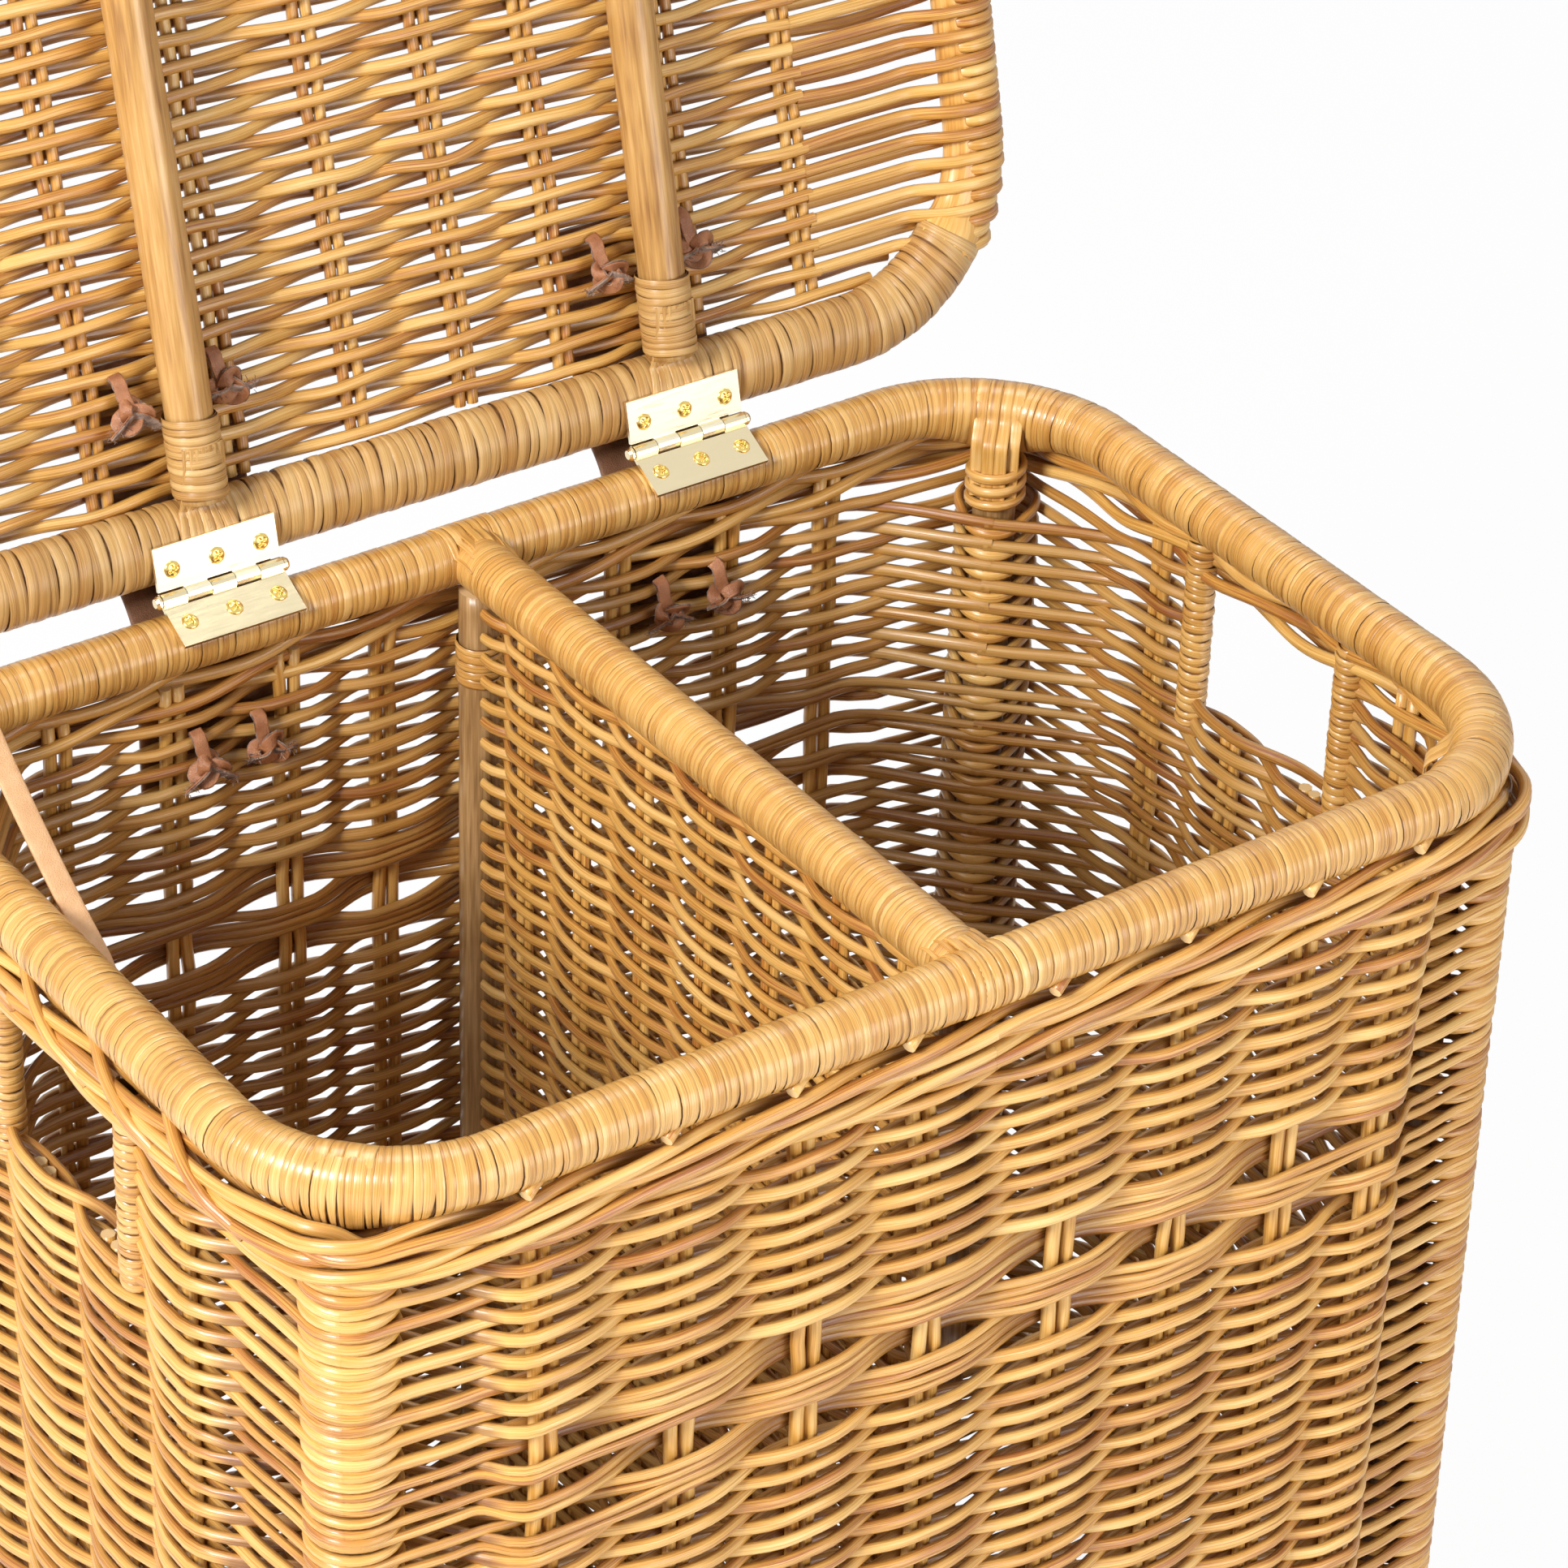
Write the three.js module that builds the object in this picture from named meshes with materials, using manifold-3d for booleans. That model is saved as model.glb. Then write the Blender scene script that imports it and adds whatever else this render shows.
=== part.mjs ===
// Two-compartment woven hamper with a hinged lid, lid standing open.
// Millimetres, +Z up, front towards -Y, origin on the floor under the middle of the body.
import * as THREE from 'three';
import { mergeVertices } from 'three/addons/utils/BufferGeometryUtils.js';
import Module from 'manifold-3d';

const wasm = await Module();
wasm.setup();

// Shared clearances
const TOUCH_GAP = 0.3;
const WIND_CLEARANCE = 0.5;

// Body
const BODY_HEIGHT = 600;
const RIM_HALF_WIDTH = 316.5;
const RIM_HALF_DEPTH = 203;
const RIM_CORNER_RADIUS = 80;
const RIM_DIAMETER = 28;
const WALL_THICKNESS = 14;
const WALL_OUTSET = 6;
const WALE_HEIGHT = 26;
const WALE_THICKNESS = 17;
const WALE_OUTSET = 7;
const BASE_HOOP_DIAMETER = 22;
const BASE_THICKNESS = 12;
const BATTEN_WIDTH = 40;
const CORNER_POST_DIAMETER = 22;
const CENTRE_POST_DIAMETER = 20;
const DIVIDER_RAIL_DIAMETER = 27;
const DIVIDER_THICKNESS = 12;
const DIVIDER_SHIFT = 0;

// Weave of the walls: rows that pass outside and inside the stakes by turns, and a band of wide ribbons
const ROW_PITCH = 6;
const UPPER_ROWS = 17;
const RIBBON_COUNT = 3;
const RIBBON_RODS = 4;
const RIBBON_HEIGHT = 19.5;
const WEAVE_SWING = 6;
const WEAVER_DEPTH = 4.8;
const CORNER_FLAT = 30;
const STAKE_CORNER_GAP = 14.5;
// How far each hand-set stake stands from its even place, counter-clockwise seen from above
const STAKE_DRIFT = {
  front: [3, 7.6, 8.1, 8.7, 15.9, 14.9, 13, 3],
  back: [12, 6.6, 6.1, 3.7, 10.3, -1.1, -4.6, -8],
  left: [22.5, 12.2, -0.2, -11.5],
  right: [11.5, 0.2, -12.2, -22.5],
};

// Hand holes in the end walls
const HANDLE_WIDTH = 96;
const HANDLE_HEIGHT = 64;
const HANDLE_POST_WIDTH = 15;

// Lid
const LID_HOOP_WIDTH = 36;
const LID_HOOP_THICKNESS = 28;
const LID_CORNER_RADIUS = 85;
const LID_SIDE_OVERHANG = 4;
const LID_FRONT_OVERHANG = 4;
const LID_LEAN_DEG = 13.5;
const LID_PANEL_THICKNESS = 13;
const LID_PANEL_LIFT = 3.8;
const BRACE_SPACING = 254;
const BRACE_DIAMETER = 23;
const BINDING_LOOPS = 8;
const BINDING_PITCH = 4.7;
const BINDING_STRIP_WIDTH = 4;
const BINDING_STRIP_THICKNESS = 1.2;

// Hinges
const HINGE_SPACING = 254;
const HINGE_LENGTH = 63;
const LEAF_WIDTH = 25;
const LEAF_THICKNESS = 1.8;
const LEAF_SPREAD = 1;
const LOWER_LEAF_TILT_DEG = 27;
const KNUCKLE_RADIUS = 3.6;
const KNUCKLE_COUNT = 5;
const PIN_RADIUS = 1.5;
const PIN_HEAD_RADIUS = 3.2;
const PIN_HEAD_LENGTH = 2.6;
const BARREL_EDGE = 3;
const SCREW_HEAD_RADIUS = 3.9;
const SCREW_SHANK_RADIUS = 1.7;
const SCREW_LENGTH = 12;
const SCREW_PITCH = 23;
const SCREW_SETBACK = 13.5;
const SCREW_SLOT_LENGTH = 4.2;
const SCREW_SLOT_WIDTH = 0.9;
const SCREW_SLOT_DEPTH = 1;

// Leather
const HINGE_STRAP_WIDTH = 76;
const HINGE_STRAP_THICKNESS = 3;
const HINGE_STRAP_LID_REACH = 104;
const HINGE_STRAP_DROP = 92;
const LID_TIE_SPREAD = 49;
const LID_TIE_REACH = 84;
const WALL_TIE_SPREAD = 32;
const WALL_TIE_DROP = 67;
const TIE_WIDTH = 18;
const TIE_HEIGHT = 15;
const TIE_DEPTH = 9;
const TIE_TAIL_LENGTH = 16;
const STAY_WIDTH = 13;
const STAY_THICKNESS = 2.2;
const STAY_DROP = 38;
const STAY_FOOT_SETBACK = 26;
const STAY_LID_REACH = 305;

// Facet counts
const HOOP_SIDES = 12;
const CORNER_STEPS = 8;
const POLE_SIDES = 16;
const KNUCKLE_SIDES = 12;
const SCREW_SIDES = 8;
const LOOP_STEPS = 14;

// Sizes that follow from the ones above
const rimRadius = RIM_DIAMETER / 2;
const rimZ = BODY_HEIGHT - rimRadius;
const baseHoopRadius = BASE_HOOP_DIAMETER / 2;
const wallInner = WALL_OUTSET - WALL_THICKNESS / 2;
const wallOuter = WALL_OUTSET + WALL_THICKNESS / 2;
const weaveFace = WALL_OUTSET + WEAVER_DEPTH / 2;
const weaveCrest = weaveFace + WEAVE_SWING;
const waleInner = WALE_OUTSET - WALE_THICKNESS / 2;
const waleOuter = WALE_OUTSET + WALE_THICKNESS / 2;
const innerFace = Math.min(wallInner, waleInner);
const waleTop = rimZ - rimRadius - TOUCH_GAP;
const waleBottom = waleTop - WALE_HEIGHT;
const wallTop = waleBottom - TOUCH_GAP;
const wallBottom = BASE_HOOP_DIAMETER + TOUCH_GAP;
const floorTop = BASE_HOOP_DIAMETER;
const floorBottom = floorTop - BASE_THICKNESS;
const postFoot = floorTop + TOUCH_GAP;
const wallInnerY = RIM_HALF_DEPTH + wallInner;
const centrePostY = RIM_HALF_DEPTH + innerFace - TOUCH_GAP - CENTRE_POST_DIAMETER / 2;
const handleSill = wallTop - HANDLE_HEIGHT;

const hinged = THREE.MathUtils.degToRad(90 + LID_LEAN_DEG);
const leafTilt = THREE.MathUtils.degToRad(LOWER_LEAF_TILT_DEG);
const leafFace = LEAF_SPREAD / 2;
const leafBack = leafFace + LEAF_THICKNESS;
const axisLift = rimRadius + TOUCH_GAP + leafBack;
const axisY = RIM_HALF_DEPTH - axisLift * Math.sin(leafTilt) + SCREW_SETBACK * Math.cos(leafTilt);
const axisZ = rimZ + axisLift * Math.cos(leafTilt) + SCREW_SETBACK * Math.sin(leafTilt);
const hingeX = HINGE_SPACING / 2;
const braceX = BRACE_SPACING / 2;

const lidHoopZ = leafBack + TOUCH_GAP + LID_HOOP_THICKNESS / 2;
const lidBackY = BARREL_EDGE + LID_HOOP_WIDTH / 2;
const lidFrontEdge = axisY + RIM_HALF_DEPTH + rimRadius + LID_FRONT_OVERHANG;
const lidHalfDepth = (lidFrontEdge - LID_HOOP_WIDTH / 2 - lidBackY) / 2;
const lidHalfWidth = RIM_HALF_WIDTH + rimRadius + LID_SIDE_OVERHANG - LID_HOOP_WIDTH / 2;
const lidCentreY = -(lidBackY + lidHalfDepth);
const lidPanelBottom = lidHoopZ + LID_PANEL_LIFT;
const lidPanelTop = lidPanelBottom + LID_PANEL_THICKNESS;
const bindingInner = BRACE_DIAMETER / 2 + WIND_CLEARANCE;
const bindingOuter = bindingInner + BINDING_STRIP_THICKNESS;
const braceZ = lidPanelBottom - TOUCH_GAP - bindingOuter;
const braceHalfLength = lidHalfDepth - LID_HOOP_WIDTH / 2 - TOUCH_GAP;

const FINISH = {
  cane: { color: 0xc99a55, roughness: 0.5, metalness: 0 },
  weave: { color: 0xb98747, roughness: 0.6, metalness: 0 },
  pole: { color: 0xb07a3c, roughness: 0.5, metalness: 0 },
  brass: { color: 0xe0bd6a, roughness: 0.18, metalness: 1 },
  brown: { color: 0x6b4228, roughness: 0.65, metalness: 0 },
  tan: { color: 0xcf9f6a, roughness: 0.6, metalness: 0 },
};

/** Turns a closed geometry into a solid that can be joined and cut. */
function solidOf(geometry) {
  const bare = geometry.clone();
  bare.deleteAttribute('normal');
  bare.deleteAttribute('uv');
  const merged = mergeVertices(bare, 1e-4);
  return new wasm.Manifold(new wasm.Mesh({
    numProp: 3,
    vertProperties: new Float32Array(merged.attributes.position.array),
    triVerts: new Uint32Array(merged.index.array),
  }));
}

/** Turns a solid back into a geometry. */
function geometryOf(solid) {
  const mesh = solid.getMesh();
  const geometry = new THREE.BufferGeometry();
  geometry.setAttribute('position', new THREE.BufferAttribute(new Float32Array(mesh.vertProperties), 3));
  geometry.setIndex(new THREE.BufferAttribute(new Uint32Array(mesh.triVerts), 1));
  geometry.computeVertexNormals();
  return geometry;
}

/** Joins closed geometries into one. */
function join(...geometries) {
  return geometryOf(geometries.map(solidOf).reduce((whole, piece) => whole.add(piece)));
}

/** Cuts every tool out of a closed geometry. */
function cut(geometry, tools) {
  return geometryOf(tools.reduce((whole, tool) => whole.subtract(solidOf(tool)), solidOf(geometry)));
}

/** Box given by its low and high corners. */
function box(low, high) {
  const size = new THREE.Vector3().subVectors(high, low);
  const centre = new THREE.Vector3().addVectors(high, low).multiplyScalar(0.5);
  return new THREE.BoxGeometry(size.x, size.y, size.z).translate(centre.x, centre.y, centre.z);
}

/** Upright pole between two heights. */
function upright(radius, x, y, bottom, top, sides = POLE_SIDES) {
  const pole = new THREE.CylinderGeometry(radius, radius, top - bottom, sides);
  return pole.rotateX(Math.PI / 2).translate(x, y, (top + bottom) / 2);
}

/** Pole lying along Y. */
function lengthways(radius, x, halfLength, z, sides = POLE_SIDES) {
  return new THREE.CylinderGeometry(radius, radius, 2 * halfLength, sides).translate(x, 0, z);
}

/** Points and outward normals of a rounded rectangle, counter-clockwise. */
function loopPath(halfX, halfY, radius) {
  const corners = [[1, 1, 0], [-1, 1, 1], [-1, -1, 2], [1, -1, 3]];
  return corners.flatMap(([sx, sy, quarter]) => Array.from({ length: CORNER_STEPS + 1 }, (_, step) => {
    const angle = (quarter + step / CORNER_STEPS) * Math.PI / 2;
    const normal = new THREE.Vector2(Math.cos(angle), Math.sin(angle));
    const point = new THREE.Vector2(sx * (halfX - radius), sy * (halfY - radius));
    return { point: point.addScaledVector(normal, radius), normal };
  }));
}

/** Oval section with flat facets at its four extremes, as [outward, up] pairs. */
function ovalSection(halfOut, halfUp, sides = HOOP_SIDES) {
  const reach = 1 / Math.cos(Math.PI / sides);
  return Array.from({ length: sides }, (_, side) => {
    const angle = (side + 0.5) * 2 * Math.PI / sides - Math.PI / 2;
    return [halfOut * reach * Math.cos(angle), halfUp * reach * Math.sin(angle)];
  });
}

/** Square-edged section between two outward offsets and two heights. */
function flatSection(inner, outer, bottom, top) {
  return [[inner, bottom], [outer, bottom], [outer, top], [inner, top]];
}

/** Closed hoop: a section carried round a rounded rectangle. */
function hoop(path, section, z) {
  const count = section.length;
  const positions = path.flatMap(({ point, normal }) => section.flatMap(([out, up]) => (
    [point.x + out * normal.x, point.y + out * normal.y, z + up]
  )));
  const index = path.flatMap((_, ring) => {
    const here = ring * count;
    const next = ((ring + 1) % path.length) * count;
    return section.flatMap((__, side) => {
      const after = (side + 1) % count;
      return [here + side, next + side, next + after, here + side, next + after, here + after];
    });
  });
  const geometry = new THREE.BufferGeometry();
  geometry.setAttribute('position', new THREE.Float32BufferAttribute(positions, 3));
  geometry.setIndex(index);
  geometry.computeVertexNormals();
  return geometry;
}

/** Rounded-rectangle plate between two heights. */
function plate(halfX, halfY, radius, bottom, top) {
  const outline = loopPath(halfX, halfY, radius).map(({ point }) => point);
  const geometry = new THREE.ExtrudeGeometry(new THREE.Shape(outline), { depth: top - bottom, bevelEnabled: false });
  return geometry.translate(0, 0, bottom);
}

/** Open band: a rectangular section carried along centres with a width direction at each. */
function band(centres, widthDirs, halfWidth, halfThickness) {
  const last = centres.length - 1;
  const corners = [[-1, -1], [1, -1], [1, 1], [-1, 1]];
  const positions = centres.flatMap((centre, i) => {
    const tangent = new THREE.Vector3().subVectors(centres[Math.min(i + 1, last)], centres[Math.max(i - 1, 0)]);
    tangent.normalize();
    const across = widthDirs[i].clone().addScaledVector(tangent, -widthDirs[i].dot(tangent)).normalize();
    const through = new THREE.Vector3().crossVectors(tangent, across);
    return corners.flatMap(([w, t]) => centre.clone()
      .addScaledVector(across, w * halfWidth)
      .addScaledVector(through, t * halfThickness)
      .toArray());
  });
  const index = [0, 2, 1, 0, 3, 2];
  for (let i = 0; i < last; i += 1) {
    for (let side = 0; side < 4; side += 1) {
      const after = (side + 1) % 4;
      const here = 4 * i;
      const next = here + 4;
      index.push(here + side, here + after, next + after, here + side, next + after, next + side);
    }
  }
  const end = 4 * last;
  index.push(end, end + 1, end + 2, end, end + 2, end + 3);
  const geometry = new THREE.BufferGeometry();
  geometry.setAttribute('position', new THREE.Float32BufferAttribute(positions, 3));
  geometry.setIndex(index);
  geometry.computeVertexNormals();
  return geometry;
}

/** Points of a line with rounded corners, a few on each curve and on each straight. */
function roundedLine(points, reach, curveSteps = 6, straightSteps = 4) {
  const path = [];
  let from = points[0];
  for (let i = 1; i < points.length; i += 1) {
    const inward = new THREE.Vector3().subVectors(points[i], points[i - 1]);
    const cornered = i < points.length - 1;
    const cutIn = cornered ? Math.min(reach, inward.length() * 0.45) : 0;
    const before = points[i].clone().addScaledVector(inward.clone().normalize(), -cutIn);
    path.push(...new THREE.LineCurve3(from, before).getPoints(straightSteps).slice(0, -1));
    if (cornered) {
      const outward = new THREE.Vector3().subVectors(points[i + 1], points[i]);
      const cutOut = Math.min(reach, outward.length() * 0.45);
      const after = points[i].clone().addScaledVector(outward.normalize(), cutOut);
      path.push(...new THREE.QuadraticBezierCurve3(before, points[i], after).getPoints(curveSteps).slice(0, -1));
      from = after;
    } else {
      path.push(before);
    }
  }
  return path;
}

/** Adds a named piece with its own material. */
function add(parent, name, geometry, finish) {
  const mesh = new THREE.Mesh(geometry, new THREE.MeshStandardMaterial(finish));
  mesh.name = name;
  parent.add(mesh);
  return mesh;
}

const hamper = new THREE.Group();
const lid = new THREE.Group();
lid.position.set(0, axisY, axisZ);
lid.rotation.x = -hinged;
hamper.add(lid);

// Hinge pieces, drawn about the hinge axis with the leaf running forward and level

/** Countersunk screw, its head flush with the height given, pointing down. */
function screw(x, y, z, grow = 0) {
  const headDepth = LEAF_THICKNESS;
  const profile = [
    [0, -SCREW_LENGTH - grow],
    [SCREW_SHANK_RADIUS * 0.4 + grow, -SCREW_LENGTH - grow],
    [SCREW_SHANK_RADIUS + grow, -SCREW_LENGTH * 0.75],
    [SCREW_SHANK_RADIUS + grow, -headDepth],
    [SCREW_HEAD_RADIUS + grow, 0],
    ...(grow > 0 ? [[SCREW_HEAD_RADIUS + grow, grow]] : []),
    [0, grow],
  ];
  const points = profile.map(([r, h]) => new THREE.Vector2(r, h));
  return new THREE.LatheGeometry(points, SCREW_SIDES).rotateX(Math.PI / 2).translate(x, y, z);
}

/** The same screw with its cross recess. */
function drivenScrew(x, y, z) {
  const long = SCREW_SLOT_LENGTH / 2;
  const thin = SCREW_SLOT_WIDTH / 2;
  const slots = [[long, thin], [thin, long]].map(([dx, dy]) => box(
    new THREE.Vector3(x - dx, y - dy, z - SCREW_SLOT_DEPTH),
    new THREE.Vector3(x + dx, y + dy, z + SCREW_SLOT_DEPTH),
  ));
  return cut(screw(x, y, z), slots);
}

const screwPlaces = [-1, 0, 1].map((step) => step * SCREW_PITCH);

/** Lower leaf: plate under the axis plane with every other knuckle. */
function lowerLeaf(parity) {
  const pitch = HINGE_LENGTH / KNUCKLE_COUNT;
  const half = HINGE_LENGTH / 2;
  const clear = KNUCKLE_RADIUS + 2 * TOUCH_GAP;
  const pieces = [box(
    new THREE.Vector3(-half, -LEAF_WIDTH, -leafBack),
    new THREE.Vector3(half, -clear, -leafFace),
  )];
  for (let k = parity; k < KNUCKLE_COUNT; k += 2) {
    const low = -half + k * pitch + TOUCH_GAP / 2;
    const high = low + pitch - TOUCH_GAP;
    const barrel = new THREE.CylinderGeometry(KNUCKLE_RADIUS, KNUCKLE_RADIUS, high - low, KNUCKLE_SIDES);
    pieces.push(barrel.rotateZ(Math.PI / 2).translate((low + high) / 2, 0, 0));
    pieces.push(box(new THREE.Vector3(low, -clear - 1, -leafBack), new THREE.Vector3(high, 0, -leafFace)));
  }
  const boreRadius = PIN_RADIUS + TOUCH_GAP;
  const bore = new THREE.CylinderGeometry(boreRadius, boreRadius, 2 * HINGE_LENGTH, KNUCKLE_SIDES);
  const holes = screwPlaces.map((x) => screw(x, -SCREW_SETBACK, -leafFace, TOUCH_GAP));
  return cut(join(...pieces), [bore.rotateZ(Math.PI / 2), ...holes]);
}

/** Turns a piece drawn for the lower leaf over for the upper one. */
function turnedOver(geometry) {
  return geometry.clone().rotateY(Math.PI);
}

const pinHalf = HINGE_LENGTH / 2 + TOUCH_GAP;
const pinProfile = [
  [0, -pinHalf - PIN_HEAD_LENGTH],
  [PIN_HEAD_RADIUS * 0.7, -pinHalf - PIN_HEAD_LENGTH],
  [PIN_HEAD_RADIUS, -pinHalf - PIN_HEAD_LENGTH * 0.5],
  [PIN_HEAD_RADIUS, -pinHalf],
  [PIN_RADIUS, -pinHalf],
  [PIN_RADIUS, pinHalf],
  [PIN_HEAD_RADIUS, pinHalf],
  [PIN_HEAD_RADIUS, pinHalf + PIN_HEAD_LENGTH * 0.5],
  [PIN_HEAD_RADIUS * 0.7, pinHalf + PIN_HEAD_LENGTH],
  [0, pinHalf + PIN_HEAD_LENGTH],
].map(([r, h]) => new THREE.Vector2(r, h));

const rimScrewHoles = [];
const lidScrewHoles = [];
const lowerLeafPlace = new THREE.Matrix4().makeRotationX(leafTilt).setPosition(0, axisY, axisZ);

for (const [side, sign] of [['left', -1], ['right', 1]]) {
  const seat = new THREE.Group();
  seat.position.set(sign * hingeX, axisY, axisZ);
  seat.rotation.x = leafTilt;
  hamper.add(seat);
  add(seat, `hinge_${side}_lower_leaf`, lowerLeaf(0), FINISH.brass);
  add(seat, `hinge_${side}_pin`, new THREE.LatheGeometry(pinProfile, KNUCKLE_SIDES).rotateZ(Math.PI / 2), FINISH.brass);

  const flap = new THREE.Group();
  flap.position.set(sign * hingeX, 0, 0);
  lid.add(flap);
  add(flap, `hinge_${side}_upper_leaf`, turnedOver(lowerLeaf(1)), FINISH.brass);

  screwPlaces.forEach((x, i) => {
    const driven = drivenScrew(x, -SCREW_SETBACK, -leafFace);
    const hole = screw(x, -SCREW_SETBACK, -leafFace, TOUCH_GAP);
    add(seat, `hinge_${side}_lower_screw_${i + 1}`, driven, FINISH.brass);
    add(flap, `hinge_${side}_upper_screw_${i + 1}`, turnedOver(driven), FINISH.brass);
    rimScrewHoles.push(hole.clone().translate(sign * hingeX, 0, 0).applyMatrix4(lowerLeafPlace));
    lidScrewHoles.push(turnedOver(hole).translate(sign * hingeX, 0, 0));
  });
}

// Body frame
const rimPath = loopPath(RIM_HALF_WIDTH, RIM_HALF_DEPTH, RIM_CORNER_RADIUS);
const rimHoop = hoop(rimPath, ovalSection(rimRadius, rimRadius), rimZ);
const rimClearance = hoop(rimPath, ovalSection(rimRadius + TOUCH_GAP, rimRadius + TOUCH_GAP), rimZ);
add(hamper, 'rim_hoop', cut(rimHoop, rimScrewHoles), FINISH.cane);

const baseSection = ovalSection(baseHoopRadius, baseHoopRadius)
  .map(([out, up]) => [out + WALL_OUTSET, up]);
add(hamper, 'base_hoop', hoop(rimPath, baseSection, baseHoopRadius), FINISH.cane);

const floorInset = baseHoopRadius - WALL_OUTSET + TOUCH_GAP;
add(hamper, 'base_panel', plate(
  RIM_HALF_WIDTH - floorInset,
  RIM_HALF_DEPTH - floorInset,
  RIM_CORNER_RADIUS - floorInset,
  floorBottom,
  floorTop,
), FINISH.weave);
add(hamper, 'base_batten', box(
  new THREE.Vector3(-BATTEN_WIDTH / 2, floorInset - RIM_HALF_DEPTH, 0),
  new THREE.Vector3(BATTEN_WIDTH / 2, RIM_HALF_DEPTH - floorInset, floorBottom - TOUCH_GAP),
), FINISH.pole);

// Corner posts stand inside the weave and are notched to the rim
const postRadius = CORNER_POST_DIAMETER / 2;
const postInset = (RIM_CORNER_RADIUS + innerFace - TOUCH_GAP - postRadius) * Math.SQRT1_2;
for (const [name, sx, sy] of [['fl', -1, -1], ['fr', 1, -1], ['bl', -1, 1], ['br', 1, 1]]) {
  const x = sx * (RIM_HALF_WIDTH - RIM_CORNER_RADIUS + postInset);
  const y = sy * (RIM_HALF_DEPTH - RIM_CORNER_RADIUS + postInset);
  add(hamper, `corner_post_${name}`, cut(upright(postRadius, x, y, postFoot, rimZ), [rimClearance]), FINISH.cane);
}

// Divider: rail level with the rim, a post at each end and a woven panel between
const railRadius = DIVIDER_RAIL_DIAMETER / 2;
const rail = lengthways(railRadius, DIVIDER_SHIFT, RIM_HALF_DEPTH, rimZ);
add(hamper, 'divider_rail', cut(rail, [rimClearance]), FINISH.cane);
const railUnderside = rimZ - railRadius - TOUCH_GAP;
for (const [name, sy] of [['front', -1], ['back', 1]]) {
  add(hamper, `centre_post_${name}`, upright(
    CENTRE_POST_DIAMETER / 2,
    DIVIDER_SHIFT,
    sy * centrePostY,
    postFoot,
    rimZ - Math.max(railRadius, rimRadius) - TOUCH_GAP,
  ), FINISH.pole);
}
const dividerReach = centrePostY - CENTRE_POST_DIAMETER / 2 - TOUCH_GAP;
add(hamper, 'divider_panel', box(
  new THREE.Vector3(DIVIDER_SHIFT - DIVIDER_THICKNESS / 2, -dividerReach, postFoot),
  new THREE.Vector3(DIVIDER_SHIFT + DIVIDER_THICKNESS / 2, dividerReach, railUnderside),
), FINISH.weave);

// Walls: four panels meeting at the middle of each corner, under a waled top border
add(hamper, 'top_wale', hoop(rimPath, flatSection(waleInner, waleOuter, waleBottom, waleTop), 0), FINISH.weave);

/** Rows of a wall from the top down; in a ribboned wall the rods of each ribbon pass together. */
function weaveRows(ribboned) {
  const bandHeight = RIBBON_COUNT * RIBBON_HEIGHT;
  const bandRows = ribboned ? RIBBON_COUNT : RIBBON_COUNT * RIBBON_RODS;
  const rest = wallTop - wallBottom - UPPER_ROWS * ROW_PITCH - bandHeight;
  const lowerRows = Math.max(2, Math.round(rest / ROW_PITCH));
  const runs = [
    { count: UPPER_ROWS, pitch: ROW_PITCH, ribbon: false },
    { count: bandRows, pitch: bandHeight / bandRows, ribbon: ribboned },
    { count: lowerRows, pitch: rest / lowerRows, ribbon: false },
  ];
  let edge = wallTop;
  let rod = 0;
  return runs.flatMap(({ count, pitch, ribbon }) => Array.from({ length: count }, (_, order) => {
    const row = { z: edge - pitch / 2, turns: ribbon ? order : rod, ribbon };
    edge -= pitch;
    rod += ribbon ? RIBBON_RODS : 1;
    return row;
  }));
}

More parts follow.
